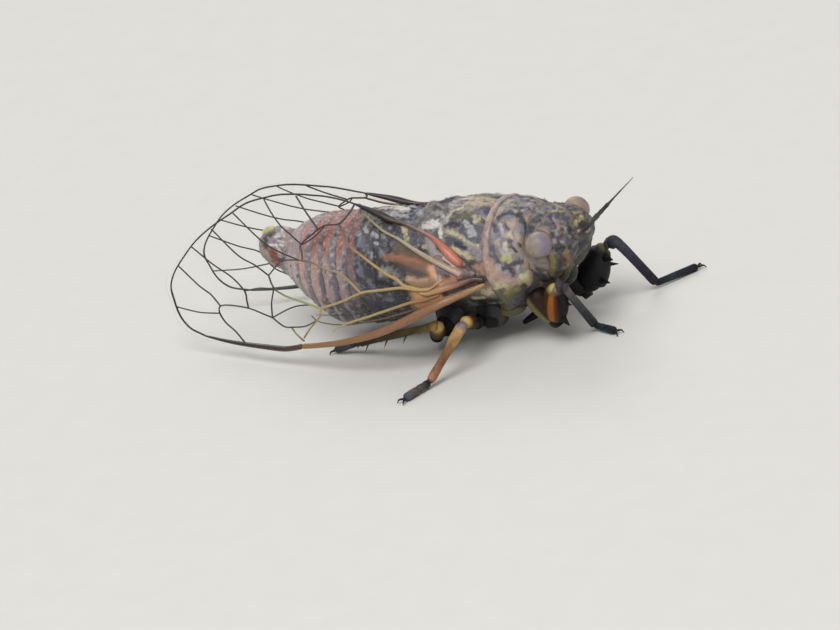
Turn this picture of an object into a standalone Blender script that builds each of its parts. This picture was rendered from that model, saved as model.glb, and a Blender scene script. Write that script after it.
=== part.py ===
"""A cicadivetta cicada at rest, life size, in solids.

Named sizes are millimetres, measured from a point of the floor just ahead of the head: X runs forward,
Y to the animal's left and Z up. At the end everything moves so that the middle of the model's box stands over
the origin. The meshes are written in metres.
"""

import math

import bmesh
import bpy
import numpy as np
from mathutils import Matrix, Quaternion, Vector
from mathutils.geometry import delaunay_2d_cdt

MM = 0.001

# Driving sizes of the body
BODY_LENGTH = 17.0
COLLAR_REAR = -4.42
THORAX_REAR = -8.3
ABDOMEN_REAR = -15.1
BODY_SIDES = 24
NODE_GAP = 0.2
SHARP_EDGE_DEG = 40

# Cross sections of the trunk: x, height of the middle, half width, half height
HEAD_SECTIONS = (
    (-2.62, 3.94, 1.8, 1.68),
    (-2.0, 3.92, 1.78, 1.68),
    (-1.5, 3.86, 1.68, 1.6),
    (-1.15, 3.95, 1.52, 1.35),
    (-0.85, 4.12, 1.25, 0.9),
)
PRONOTUM_SECTIONS = (
    (-2.84, 3.9, 1.86, 1.76),
    (-3.2, 3.78, 2.25, 2.02),
    (-3.75, 3.66, 2.58, 2.24),
    (-3.95, 3.6, 2.66, 2.26),
    (-4.1, 3.58, 2.8, 2.4),
    (COLLAR_REAR, 3.56, 2.84, 2.42),
)
MESOTHORAX_SECTIONS = (
    (-4.62, 3.6, 2.55, 2.3),
    (-5.0, 3.62, 2.6, 2.38),
    (-6.1, 3.63, 2.58, 2.4),
    (-7.0, 3.57, 2.52, 2.37),
    (-7.7, 3.52, 2.45, 2.33),
    (THORAX_REAR, 3.46, 2.35, 2.25),
)
ABDOMEN_SECTIONS = (
    (-8.5, 3.4, 2.3, 2.25),
    (-9.5, 3.27, 2.36, 2.48),
    (-11.0, 3.12, 2.3, 2.56),
    (-12.0, 3.08, 2.28, 2.56),
    (-13.3, 3.13, 2.22, 2.46),
    (-14.0, 3.35, 1.95, 2.1),
    (-14.6, 3.49, 1.62, 1.74),
    (ABDOMEN_REAR, 3.58, 1.25, 1.33),
)
PYGOFER_SECTIONS = (
    (-15.3, 3.72, 1.02, 1.1),
    (-15.95, 4.1, 0.92, 0.95),
    (-16.6, 4.25, 0.68, 0.68),
    (-BODY_LENGTH, 4.22, 0.34, 0.34),
)
TERGITES = 8
TERGITE_STEP = 0.07
COLLAR_SLANT = 0.12
CROSS_CENTRE_X = -7.6
CROSS_ARMS = ((0.75, 0.6, -0.06), (0.75, -0.6, -0.06), (-0.55, 0.55, -0.12), (-0.55, -0.55, -0.12))
CROSS_RADII = (0.22, 0.14)

# Head parts
EYE_CENTRE = (-2.1, 1.95, 4.52)
EYE_RADII = (0.72, 0.71, 0.75)
FACE_CENTRE = (-1.35, 0.0, 3.7)
FACE_RADII = (0.8, 0.92, 1.35)
FACE_LEAN_DEG = 15.0
FACE_RIDGES = 9
FACE_RIDGE_SHARE = 0.025
ANTENNA_BASE = (-0.54, 0.7, 4.6)
ANTENNA_TIP = (1.35, 1.6, 6.1)
ANTENNA_RADII = ((0.06, 0.25), (0.3, 0.25), (0.36, 0.22), (0.75, 0.2), (1.0, 0.08))
ROSTRUM_ROUTE = ((-1.75, 0.0, 1.75), (-2.9, -0.05, 1.05), (-4.6, -0.45, 0.3))
ROSTRUM_RADII = (0.3, 0.27, 0.15)

# Legs: route of each on the left side, from the body to the end of the foot
FORE_RIGHT = ((-3.35, 1.2, 2.3), (-2.31, 1.5, 0.8), (-1.49, 2.28, 3.0), (-0.9, 0.79, 0.24),
              (0.31, 1.22, 0.14))
FORE_LEFT = ((-3.35, 1.2, 2.3), (-2.34, 1.57, 0.6), (-1.2, 2.14, 2.75), (0.34, 3.14, 0.24),
             (1.66, 4.94, 0.14))
MID_LEG = ((-5.6, 1.2, 2.2), (-5.87, 2.0, 1.15), (-5.3, 4.0, 2.21), (-6.69, 5.84, 0.24), (-7.34, 7.18, 0.14))
HIND_LEG = ((-7.7, 1.1, 2.0), (-8.0, 2.15, 0.6), (-6.9, 3.55, 1.85), (-11.7, 2.6, 0.6), (-13.2, 2.4, 0.14))
FOOT_RADIUS = 0.25
SHIN_RADIUS = 0.25
KNEE_RADIUS = 0.26
THIGH_ROOT_RADIUS = 0.25
COXA_RADIUS = 0.5
COXA_END_RADIUS = 0.28
THIGH_RADII = {"fore": 0.56, "mid": 0.33, "hind": 0.36}
JOINT_GAP = 0.16
# Spines: share of the way along the segment, and reach beyond its surface
THIGH_SPINES = ((0.3, 0.45), (0.52, 0.55), (0.74, 0.35))
SHIN_SPINES = ((0.3, 0.35), (0.45, 0.35), (0.6, 0.35), (0.75, 0.35))
SPINE_SPLAY_DEG = 55
SPINE_RADII = (0.2, 0.06)
SPINE_SIDES = 5
SPINE_LEAN = 0.25

# Line of sight of the photograph, which the wing's outline and veins are read along
PHOTO_CENTRE = (420.0, 315.0)
PX_PER_MM = 22.8
VIEW_CENTRE = (-8.96, -1.51, 1.34)
VIEW_DISTANCE = 200.0
VIEW_AZIMUTH_DEG = 32.4
VIEW_ELEVATION_DEG = 23.1
VIEW_ROLL_DEG = -15.5

# Roof that the folded wings make: x against half width at the costa and height of the ridge
ROOF_WIDTH = ((-4.0, 4.05), (-6.0, 4.35), (-8.0, 4.5), (-10.0, 4.42), (-12.0, 4.12), (-14.0, 3.65),
              (-17.0, 2.92), (-20.0, 2.15), (-22.0, 1.6))
ROOF_RIDGE = ((-4.0, 7.5), (-6.4, 7.45), (-9.0, 7.0), (-11.6, 6.7), (-13.0, 6.8), (-15.0, 7.05),
              (-22.0, 7.05))
ROOF_FOOT = 0.85
ROOF_HALF_GAP = 0.42
WING_THICKNESS = 0.5
RIDGE_HEIGHT = 0.13
VEIN_STEP_PX = 40
HINDWING_VEIN_STEP = 3.0
WELD_DISTANCE = 0.03

# Forewing outline in pixels of the photograph, round from the hinge along the costa
MARGIN_PX = (
    (479, 284), (462, 297), (440, 309), (420, 318.5), (400, 328), (380, 336.5), (360, 343.5), (340, 348.5),
    (320, 351.5), (300, 352.5), (280, 352), (260, 350), (240, 347.5), (222, 343.5), (204, 339.5),
    (192, 334), (181, 326), (175, 315), (171, 303), (166.5, 290), (167.5, 276), (177, 261),
    (186, 246), (196, 234), (209, 221), (226, 209), (243, 198.5), (262, 194.5), (280, 189.5),
    (300, 190), (320, 191), (338, 194), (354, 199.5), (367, 208), (385, 216), (403, 220), (420, 226.5),
    (434, 236), (450, 250), (465, 264), (478, 274),
)
# Main veins in the same pixels: half width in millimetres, then the points
VEINS_PX = {
    "costa": (0.2, ((470, 288), (440, 304), (410, 318.5), (380, 332.5), (345, 343), (312, 347.5), (280, 348),
                    (240, 343), (206, 335.5))),
    "ambient": (0.12, ((206, 335.5), (190, 327), (180, 314), (174.5, 299), (171.5, 286), (175, 272),
                       (184, 257), (196, 241), (211.5, 227), (231, 213.5), (247, 203), (268, 197),
                       (283, 194.5), (313, 195), (338, 199), (355, 204))),
    "anal": (0.13, ((355, 204), (375, 213), (405, 222), (428, 233), (450, 252), (465, 268))),
    "claval": (0.12, ((362, 212), (385, 230), (415, 251), (441, 266), (463, 276))),
    "radius": (0.13, ((430, 300), (395, 310), (352, 321.5), (337, 329))),
    "media": (0.13, ((430, 290), (403, 287.5), (361, 293), (340, 302), (321, 308.5))),
    "cubitus": (0.13, ((420, 289), (403, 283), (380, 268.5), (360, 252), (345, 236), (339, 224))),
    "media_upper": (0.11, ((361, 293), (346, 278), (325, 269.5), (300, 260.5), (282, 261.5), (269, 275.5))),
    "media_middle": (0.11, ((321, 308.5), (300, 298.5), (274, 289))),
    "media_lower": (0.11, ((321, 308.5), (320, 321.5), (292, 327), (273, 317.5))),
    "node_link": (0.1, ((292, 327), (304, 342))),
    "cell_curve": (0.1, ((273, 317.5), (290, 307.5), (312, 305.5))),
    "rung": (0.11, ((269, 275.5), (274, 289), (273, 317.5))),
    "apical_1": (0.11, ((273, 317.5), (249, 308), (221, 306), (221, 315), (241, 336), (246, 343))),
    "apical_2": (0.1, ((221, 315), (200, 312), (180, 307.5))),
    "apical_3": (0.1, ((221, 306), (200, 286), (181, 267))),
    "apical_4": (0.1, ((249, 308), (245, 291), (213, 264), (195, 246))),
    "apical_4_link": (0.1, ((245, 291), (274, 289))),
    "apical_5": (0.1, ((269, 275.5), (238, 255), (211.5, 229))),
    "apical_6": (0.1, ((300, 260.5), (262, 241), (233, 213))),
    "apical_7": (0.1, ((305, 243), (281, 226), (264, 199))),
    "apical_8": (0.1, ((318, 228), (306, 212), (296, 196))),
    "hem_cell": (0.1, ((300, 260.5), (302, 243), (318, 229), (339, 224), (355, 204))),
}

# Hindwing outline, folded under the forewing: x and height
HINDWING_OUTLINE = ((-6.4, 3.15), (-7.6, 3.2), (-9.5, 3.1), (-11.5, 2.85), (-13.0, 2.45), (-13.7, 2.1),
                    (-13.1, 1.75), (-11.5, 1.75), (-9.5, 2.1), (-7.6, 2.5), (-6.5, 2.7))
HINDWING_VEINS = {
    "costa": (0.14, ((-6.7, 2.8), (-7.6, 2.65), (-9.5, 2.25), (-11.5, 1.9), (-13.2, 1.95))),
    "media": (0.12, ((-6.7, 2.9), (-8.5, 2.68), (-11.0, 2.3), (-13.3, 2.15))),
    "anal": (0.12, ((-6.7, 3.0), (-8.5, 2.9), (-11.0, 2.6), (-12.8, 2.35))),
}
HINDWING_DEPTH = 0.76

COLOURS = {
    "black cuticle": ("#2a2724", 0.4),
    "tan cuticle": ("#b4947c", 0.45),
    "red banded cuticle": ("#a8665c", 0.5),
    "lilac cuticle": ("#a89aa4", 0.5),
    "eye": ("#b89a86", 0.2),
    "wing membrane": ("#b9bfa6", 0.2),
    "orange leg": ("#b5794c", 0.45),
    "dark leg": ("#4a4348", 0.45),
}


def linear(channel):
    return channel / 12.92 if channel <= 0.04045 else ((channel + 0.055) / 1.055) ** 2.4


def material(name):
    """The named material, made the first time it is asked for."""
    found = bpy.data.materials.get(name)
    if found:
        return found
    code, roughness = COLOURS[name]
    made = bpy.data.materials.new(name)
    made.use_nodes = True
    shader = made.node_tree.nodes["Principled BSDF"]
    channels = [linear(int(code[i : i + 2], 16) / 255) for i in (1, 3, 5)]
    shader.inputs["Base Color"].default_value = (*channels, 1)
    shader.inputs["Roughness"].default_value = roughness
    shader.inputs["Metallic"].default_value = 0
    return made


def smooth_through(stations):
    """A function through the stations, each x first, with a smooth cubic between neighbours."""
    table = np.array(sorted(stations), float)
    xs, values = table[:, 0], table[:, 1:]
    slopes = np.gradient(values, xs, axis=0)

    def at(x):
        i = int(np.clip(np.searchsorted(xs, x) - 1, 0, len(xs) - 2))
        step = xs[i + 1] - xs[i]
        t = float(np.clip((x - xs[i]) / step, 0, 1))
        start = values[i] * (1 + 2 * t) * (1 - t) ** 2 + slopes[i] * step * t * (1 - t) ** 2
        end = values[i + 1] * t * t * (3 - 2 * t) - slopes[i + 1] * step * t * t * (1 - t)
        return start + end

    return at


def add_object(name, mesh, look):
    mesh.materials.append(material(look))
    made = bpy.data.objects.new(name, mesh)
    bpy.context.scene.collection.objects.link(made)
    return made


def mesh_of(name, points, faces):
    """A closed mesh in metres from points in millimetres, its faces turned outwards."""
    shell = bmesh.new()
    corners = [shell.verts.new(Vector(p) * MM) for p in points]
    for face in faces:
        shell.faces.new([corners[i] for i in face])
    bmesh.ops.recalc_face_normals(shell, faces=shell.faces)
    bmesh.ops.triangulate(shell, faces=[f for f in shell.faces if len(f.verts) > 4])
    mesh = bpy.data.meshes.new(name)
    shell.to_mesh(mesh)
    shell.free()
    mesh.shade_smooth()
    mesh.set_sharp_from_angle(angle=math.radians(SHARP_EDGE_DEG))
    return mesh


def loft(name, rings):
    """A closed mesh through rings of equally many points, with flat ends."""
    sides = len(rings[0])
    points = [p for ring in rings for p in ring]
    faces = [tuple(range(sides)), tuple((len(rings) - 1) * sides + i for i in range(sides))]
    for r in range(len(rings) - 1):
        for i in range(sides):
            j = (i + 1) % sides
            faces.append((r * sides + i, r * sides + j, (r + 1) * sides + j, (r + 1) * sides + i))
    return mesh_of(name, points, faces)


def trunk_ring(x, middle, half_width, half_height, sides=BODY_SIDES):
    """One oval cross section of the trunk."""
    angles = [2 * math.pi * (i + 0.5) / sides for i in range(sides)]
    return [(x, half_width * math.cos(a), middle + half_height * math.sin(a)) for a in angles]


def tube(name, route, radii, sides=8, squash=1.0):
    """A closed tapering tube along a route of points, kept above the floor."""
    route = [Vector(p) for p in route]
    rings = []
    for i, centre in enumerate(route):
        along = (route[min(i + 1, len(route) - 1)] - route[max(i - 1, 0)]).normalized()
        across = along.cross(Vector((0, 0, 1))).normalized()
        rise = across.cross(along)
        ring = []
        for k in range(sides):
            a = 2 * math.pi * (k + 0.5) / sides
            p = centre + radii[i] * (math.cos(a) * across + math.sin(a) * squash * rise)
            ring.append((p.x, p.y, max(p.z, 0.0)))
        rings.append(ring)
    return loft(name, rings)


def ball(name, centre, radii, rows=10, sides=16, lean=0.0, bulge=None):
    """An oval ball whose poles lie up and down, leaned forward or back about Y."""
    points = []
    for row in range(1, rows):
        level = math.pi * row / rows
        for side in range(sides):
            turn = 2 * math.pi * side / sides
            swell = bulge(level) if bulge else 1.0
            points.append(
                (
                    radii[0] * math.sin(level) * math.cos(turn) * swell,
                    radii[1] * math.sin(level) * math.sin(turn) * swell,
                    radii[2] * math.cos(level),
                )
            )
    top, bottom = len(points), len(points) + 1
    points += [(0, 0, radii[2]), (0, 0, -radii[2])]
    faces = []
    for side in range(sides):
        nxt = (side + 1) % sides
        faces.append((top, side, nxt))
        last = (rows - 2) * sides
        faces.append((bottom, last + nxt, last + side))
        for row in range(rows - 2):
            a, b = row * sides, (row + 1) * sides
            faces.append((a + side, b + side, b + nxt, a + nxt))
    c, s = math.cos(lean), math.sin(lean)
    placed = [(centre[0] + c * x + s * z, centre[1] + y, centre[2] - s * x + c * z) for x, y, z in points]
    return mesh_of(name, placed, faces)


def helper(name, mesh):
    """An object that only cuts or joins, left out of renders."""
    made = bpy.data.objects.new(name, mesh)
    bpy.context.scene.collection.objects.link(made)
    made.hide_render = True
    made.display_type = "WIRE"
    return made


def apply_boolean(target, operation, others):
    """Cuts or joins the others with the target, applies it and removes them."""
    group = bpy.data.collections.new(target.name + "_" + operation.lower())
    bpy.context.scene.collection.children.link(group)
    for other in others:
        bpy.context.scene.collection.objects.unlink(other)
        group.objects.link(other)
    modifier = target.modifiers.new(operation.title(), "BOOLEAN")
    modifier.operation = operation
    modifier.operand_type = "COLLECTION"
    modifier.collection = group
    modifier.solver = "EXACT"
    graph = bpy.context.evaluated_depsgraph_get()
    finished = bpy.data.meshes.new_from_object(target.evaluated_get(graph))
    target.modifiers.remove(modifier)
    target.data = finished
    for other in others:
        bpy.data.objects.remove(other)
    bpy.data.collections.remove(group)
    keep_largest(target)


def keep_largest(target):
    """Drops every closed surface of the mesh but the largest."""
    shell = bmesh.new()
    shell.from_mesh(target.data)
    left = set(shell.verts)
    groups = []
    while left:
        stack = [left.pop()]
        group = set(stack)
        while stack:
            for edge in stack.pop().link_edges:
                for vert in edge.verts:
                    if vert in left:
                        left.remove(vert)
                        group.add(vert)
                        stack.append(vert)
        groups.append(group)
    groups.sort(key=len, reverse=True)
    for group in groups[1:]:
        bmesh.ops.delete(shell, geom=list(group), context="VERTS")
    shell.to_mesh(target.data)
    shell.free()


def mirrored(point, side):
    return (point[0], side * point[1], point[2])


# Trunk
def make_head():
    head = add_object("head", loft("head", [trunk_ring(*s) for s in HEAD_SECTIONS]), "black cuticle")
    grown = [r + NODE_GAP for r in EYE_RADII]
    cutters = [helper("eye socket", ball("socket", mirrored(EYE_CENTRE, side), grown)) for side in (1, -1)]
    grown = [r + NODE_GAP for r in FACE_RADII]
    hollow = ball("socket", FACE_CENTRE, grown, lean=math.radians(FACE_LEAN_DEG))
    cutters.append(helper("face socket", hollow))
    apply_boolean(head, "DIFFERENCE", cutters)


def make_face():
    def ridged(level):
        return 1 + FACE_RIDGE_SHARE * math.cos(2 * FACE_RIDGES * level)

    lean = math.radians(FACE_LEAN_DEG)
    mesh = ball("face", FACE_CENTRE, FACE_RADII, rows=18, sides=14, lean=lean, bulge=ridged)
    add_object("face", mesh, "black cuticle")


def make_eyes():
    for label, side in (("left", 1), ("right", -1)):
        mesh = ball("eye_" + label, mirrored(EYE_CENTRE, side), EYE_RADII, rows=10, sides=16)
        add_object("eye_" + label, mesh, "eye")


def make_antennae():
    for label, side in (("left", 1), ("right", -1)):
        base, tip = Vector(mirrored(ANTENNA_BASE, side)), Vector(mirrored(ANTENNA_TIP, side))
        route = [base.lerp(tip, share) for share, _ in ANTENNA_RADII]
        radii = [radius for _, radius in ANTENNA_RADII]
        add_object("antenna_" + label, tube("antenna", route, radii, sides=6), "dark leg")


def make_rostrum():
    add_object("rostrum", tube("rostrum", ROSTRUM_ROUTE, ROSTRUM_RADII), "dark leg")


def slanted(ring, middle, slant):
    """The ring with its top leaned back, by the slant for each millimetre above the middle."""
    return [(x - slant * (z - middle), y, z) for x, y, z in ring]


def make_pronotum():
    rings = []
    front = PRONOTUM_SECTIONS[0][0]
    for section in PRONOTUM_SECTIONS:
        share = (section[0] - front) / (COLLAR_REAR - front)
        rings.append(slanted(trunk_ring(*section), section[1], COLLAR_SLANT * share))
    add_object("pronotum", loft("pronotum", rings), "tan cuticle")


def make_mesothorax():
    rings = []
    for index, section in enumerate(MESOTHORAX_SECTIONS):
        slant = COLLAR_SLANT * max(0.0, 1 - index / 2)
        rings.append(slanted(trunk_ring(*section), section[1], slant))
    thorax = add_object("mesothorax", loft("mesothorax", rings), "black cuticle")
    middle, _, half_height = smooth_through(MESOTHORAX_SECTIONS)(CROSS_CENTRE_X)
    centre = Vector((CROSS_CENTRE_X, 0, middle + half_height))
    arms = []
    for reach in CROSS_ARMS:
        start = centre - 0.2 * Vector((reach[0], reach[1], 0))
        arms.append(helper("cross arm", tube("arm", (start, centre + Vector(reach)), CROSS_RADII, sides=6)))
    apply_boolean(thorax, "UNION", arms)


def make_abdomen():
    at = smooth_through(ABDOMEN_SECTIONS)
    front, rear = ABDOMEN_SECTIONS[0][0], ABDOMEN_REAR
    length = (front - rear) / TERGITES
    rings = []
    for k in range(TERGITES):
        for share, shrink in ((0.0, TERGITE_STEP), (0.75, 0.0), (0.98, 0.0)):
            x = front - (k + share) * length
            middle, half_width, half_height = at(x)
            rings.append(trunk_ring(x, middle, half_width - shrink, half_height - shrink))
    add_object("abdomen", loft("abdomen", rings), "red banded cuticle")


def make_pygofer():
    rings = [trunk_ring(*s, sides=14) for s in PYGOFER_SECTIONS]
    add_object("pygofer", loft("pygofer", rings), "lilac cuticle")


# Wings
def sight_axes():
    """Right, up and towards the viewer, of the photograph."""
    azimuth, elevation = math.radians(VIEW_AZIMUTH_DEG), math.radians(VIEW_ELEVATION_DEG)
    roll = math.radians(VIEW_ROLL_DEG)
    flat = math.cos(elevation)
    back = Vector((math.sin(azimuth) * flat, -math.cos(azimuth) * flat, math.sin(elevation)))
    level = Vector((0, 0, 1)).cross(back).normalized()
    lift = back.cross(level)
    right = math.cos(roll) * level + math.sin(roll) * lift
    return right, back.cross(right), back


ROOF_WIDTH_AT = smooth_through(ROOF_WIDTH)
ROOF_RIDGE_AT = smooth_through(ROOF_RIDGE)


def roof(x, z):
    """Distance from the middle plane to the middle of the forewing, at a place and height."""
    width, ridge = ROOF_WIDTH_AT(x)[0], ROOF_RIDGE_AT(x)[0]
    share = min(max((ridge - z) / (ridge - ROOF_FOOT), 0.0), 1.0)
    return ROOF_HALF_GAP + (width - ROOF_HALF_GAP) * math.sin(0.5 * math.pi * share)


def roof_place(pixel):
    """The x and z where the sight line of a pixel meets the right forewing."""
    right, up, back = sight_axes()
    centre = Vector(VIEW_CENTRE)
    eye = centre + back * VIEW_DISTANCE
    across = (pixel[0] - PHOTO_CENTRE[0]) / PX_PER_MM
    rise = (PHOTO_CENTRE[1] - pixel[1]) / PX_PER_MM
    sight = centre + right * across + up * rise - eye
    y = -3.0
    for _ in range(30):
        reach = (y - eye.y) / sight.y
        place = eye + sight * reach
        y = -roof(place.x, place.z)
    return place.x, place.z


def spaced(points, step):
    """The points of a line, with more between them where they lie further apart than step."""
    found = [np.array(points[0], float)]
    for a, b in zip(points, points[1:]):
        a, b = np.array(a, float), np.array(b, float)
        count = max(1, round(float(np.linalg.norm(b - a)) / step))
        found += [a + (b - a) * i / count for i in range(1, count + 1)]
    return found


def vein_strip(line, half_width):
    """Centre line of a vein and the two lines at its sides."""
    line = np.array(line)
    along = np.gradient(line, axis=0)
    along /= np.linalg.norm(along, axis=1)[:, None]
    aside = np.stack([-along[:, 1], along[:, 0]], axis=1) * half_width
    return line, line + aside, line - aside


def height_over(points, veins):
    """Ridge height at each point, from its distance to the nearest vein."""
    height = np.zeros(len(points))
    for half_width, line in veins:
        for a, b in zip(line, line[1:]):
            run = b - a
            share = np.clip(((points - a) @ run) / (run @ run), 0, 1)
            away = np.linalg.norm(points - (a + share[:, None] * run), axis=1)
            height = np.maximum(height, RIDGE_HEIGHT * np.clip(1.05 - away / half_width, 0, 1))
    return height


def vane(name, outline, veins, surface, side):
    """A curved wing with veins raised on its outer face, split into the same triangles on both faces."""
    corners = [Vector(p) for p in outline]
    edges = []
    for half_width, line in veins:
        for strip in vein_strip(line, half_width):
            start = len(corners)
            corners += [Vector(p) for p in strip]
            edges += [(start + i, start + i + 1) for i in range(len(strip) - 1)]
    face = list(range(len(outline)))
    flat, _, triangles, *_ = delaunay_2d_cdt(corners, edges, [face], 1, WELD_DISTANCE)
    plan = np.array([(p.x, p.y) for p in flat])
    height = height_over(plan, veins)
    nudge = 0.01
    outer, inner = [], []
    for (x, z), rise in zip(plan, height):
        y = surface(x, z)
        lean_x = (surface(x + nudge, z) - surface(x - nudge, z)) / (2 * nudge)
        lean_z = (surface(x, z + nudge) - surface(x, z - nudge)) / (2 * nudge)
        normal = Vector((-lean_x, 1, -lean_z)).normalized()
        middle = Vector((x, y, z))
        outer.append(mirrored(middle + normal * (WING_THICKNESS / 2 + rise), side))
        inner.append(mirrored(middle - normal * WING_THICKNESS / 2, side))
    count = len(plan)
    faces = [tuple(t) for t in triangles] + [tuple(i + count for i in reversed(t)) for t in triangles]
    used = {}
    for t in triangles:
        for a, b in zip(t, (*t[1:], t[0])):
            used[(a, b)] = True
    rim = [(a, b) for a, b in used if (b, a) not in used]
    faces += [(b, a, a + count, b + count) for a, b in rim]
    return mesh_of(name, outer + inner, faces)


def make_forewings():
    outline = [roof_place(p) for p in MARGIN_PX]
    veins = []
    for half_width, line in VEINS_PX.values():
        veins.append((half_width, np.array([roof_place(p) for p in spaced(line, VEIN_STEP_PX)])))
    for label, side in (("left", 1), ("right", -1)):
        mesh = vane("forewing_" + label, outline, veins, roof, side)
        add_object("forewing_" + label, mesh, "wing membrane")


def make_hindwings():
    def tucked(x, z):
        lean = (roof(x, z + 0.01) - roof(x, z - 0.01)) / 0.02
        return roof(x, z) - HINDWING_DEPTH * math.hypot(1, lean)

    veins = []
    for half_width, line in HINDWING_VEINS.values():
        veins.append((half_width, np.array(spaced(line, HINDWING_VEIN_STEP))))
    for label, side in (("left", 1), ("right", -1)):
        mesh = vane("hindwing_" + label, HINDWING_OUTLINE, veins, tucked, side)
        add_object("hindwing_" + label, mesh, "wing membrane")


# Legs
def beside_joint(before, joint, after, thick, thin):
    """Where a segment starts, clear of the end of the segment before it by the joint's gap."""
    before, joint, after = Vector(before), Vector(joint), Vector(after)
    back = (before - joint).normalized()
    onward = (after - joint).normalized()
    fold = back.dot(onward)
    if fold > 0:
        aside = (onward - back * fold).normalized()
        return joint + aside * (thick + JOINT_GAP + thin * fold)
    return joint + onward * (JOINT_GAP + thick * math.sqrt(1 - fold * fold))


def make_coxa(name, start, end, thorax_cutters):
    top, bottom = Vector(start), Vector(end)
    mesh = tube(name, (top, top.lerp(bottom, 0.6), bottom), (COXA_RADIUS, COXA_RADIUS, COXA_END_RADIUS))
    coxa = add_object(name, mesh, "black cuticle")
    apply_boolean(coxa, "DIFFERENCE", thorax_cutters())


def add_spines(segment, start, end, radius, spines, towards):
    """Joins tapering spines to a leg segment, splayed in turn to either side of the direction they face."""
    axis = (end - start).normalized()
    facing = (towards - axis * towards.dot(axis)).normalized()
    splay = math.radians(SPINE_SPLAY_DEG)
    made = []
    for index, (share, reach) in enumerate(spines):
        turned = Quaternion(axis, splay if index % 2 else -splay) @ facing
        foot = start.lerp(end, share)
        tip = foot + turned * (radius + reach) - axis * SPINE_LEAN
        made.append(helper("spine", tube("spine", (foot, tip), SPINE_RADII, sides=SPINE_SIDES)))
    apply_boolean(segment, "UNION", made)


def make_femur(name, pair, before, start, end, after):
    thick = THIGH_RADII[pair]
    root = beside_joint(before, start, end, COXA_END_RADIUS, THIGH_ROOT_RADIUS)
    knee = Vector(end)
    route = [root.lerp(knee, t) for t in (0, 0.15, 0.45, 0.8, 1)]
    radii = [THIGH_ROOT_RADIUS, 0.8 * thick, thick, 0.72 * thick, KNEE_RADIUS]
    femur = add_object(name, tube(name, route, radii), "orange leg")
    if pair == "fore":
        add_spines(femur, root, knee, thick, THIGH_SPINES, Vector(after) - knee)


def make_tibia(name, pair, before, start, end):
    knee, ankle = beside_joint(before, start, end, KNEE_RADIUS, SHIN_RADIUS), Vector(end)
    route = [knee.lerp(ankle, t) for t in (0, 0.1, 0.5, 1)]
    radii = [0.9 * SHIN_RADIUS, SHIN_RADIUS, SHIN_RADIUS, SHIN_RADIUS]
    tibia = add_object(name, tube(name, route, radii), "orange leg")
    if pair == "hind":
        add_spines(tibia, ankle, knee, SHIN_RADIUS, SHIN_SPINES, Vector((0, 0, -1)))


def make_tarsus(name, before, start, end):
    root, tip = beside_joint(before, start, end, SHIN_RADIUS, FOOT_RADIUS), Vector(end)
    route = [root.lerp(tip, t) for t in (0, 0.4, 0.8, 1)]
    radii = [0.9 * FOOT_RADIUS, FOOT_RADIUS, FOOT_RADIUS, 0.5 * FOOT_RADIUS]
    add_object(name, tube(name, route, radii), "dark leg")


def make_leg(pair, label, route, thorax_cutters):
    side = 1 if label == "left" else -1
    body, root, knee, ankle, toe = (mirrored(p, side) for p in route)
    ending = f"{pair}_{label}"
    make_coxa("coxa_" + ending, body, root, thorax_cutters)
    make_femur("femur_" + ending, pair, body, root, knee, ankle)
    make_tibia("tibia_" + ending, pair, root, knee, ankle)
    make_tarsus("tarsus_" + ending, knee, ankle, toe)


def thorax_clearance(sections):
    """Builds a fresh cutter round the given trunk sections, with the gap between nodes."""

    def cutters():
        grown = [(x, middle, a + NODE_GAP, b + NODE_GAP) for x, middle, a, b in sections]
        grown[0] = (grown[0][0] + 1.2, *grown[0][1:])
        grown[-1] = (grown[-1][0] - 1.2, *grown[-1][1:])
        return [helper("clearance", loft("clearance", [trunk_ring(*s) for s in grown]))]

    return cutters


def make_legs():
    front, middle = thorax_clearance(PRONOTUM_SECTIONS), thorax_clearance(MESOTHORAX_SECTIONS)
    make_leg("fore", "right", FORE_RIGHT, front)
    make_leg("fore", "left", FORE_LEFT, front)
    for label in ("left", "right"):
        make_leg("mid", label, MID_LEG, middle)
        make_leg("hind", label, HIND_LEG, middle)


def centre_over_origin():
    """Moves every mesh so that the middle of the model's box stands over the origin."""
    corners = [v.co for made in bpy.data.objects for v in made.data.vertices]
    middle = [(min(c[k] for c in corners) + max(c[k] for c in corners)) / 2 for k in range(2)]
    for made in bpy.data.objects:
        made.data.transform(Matrix.Translation((-middle[0], -middle[1], 0)))


def main():
    for old in list(bpy.data.objects):
        bpy.data.objects.remove(old)
    make_head()
    make_face()
    make_eyes()
    make_antennae()
    make_rostrum()
    make_pronotum()
    make_mesothorax()
    make_abdomen()
    make_pygofer()
    make_forewings()
    make_hindwings()
    make_legs()
    centre_over_origin()


main()
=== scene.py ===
import math

import bpy
import numpy as np
from mathutils import Matrix, Vector
from mathutils.bvhtree import BVHTree
from mathutils.geometry import delaunay_2d_cdt


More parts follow.
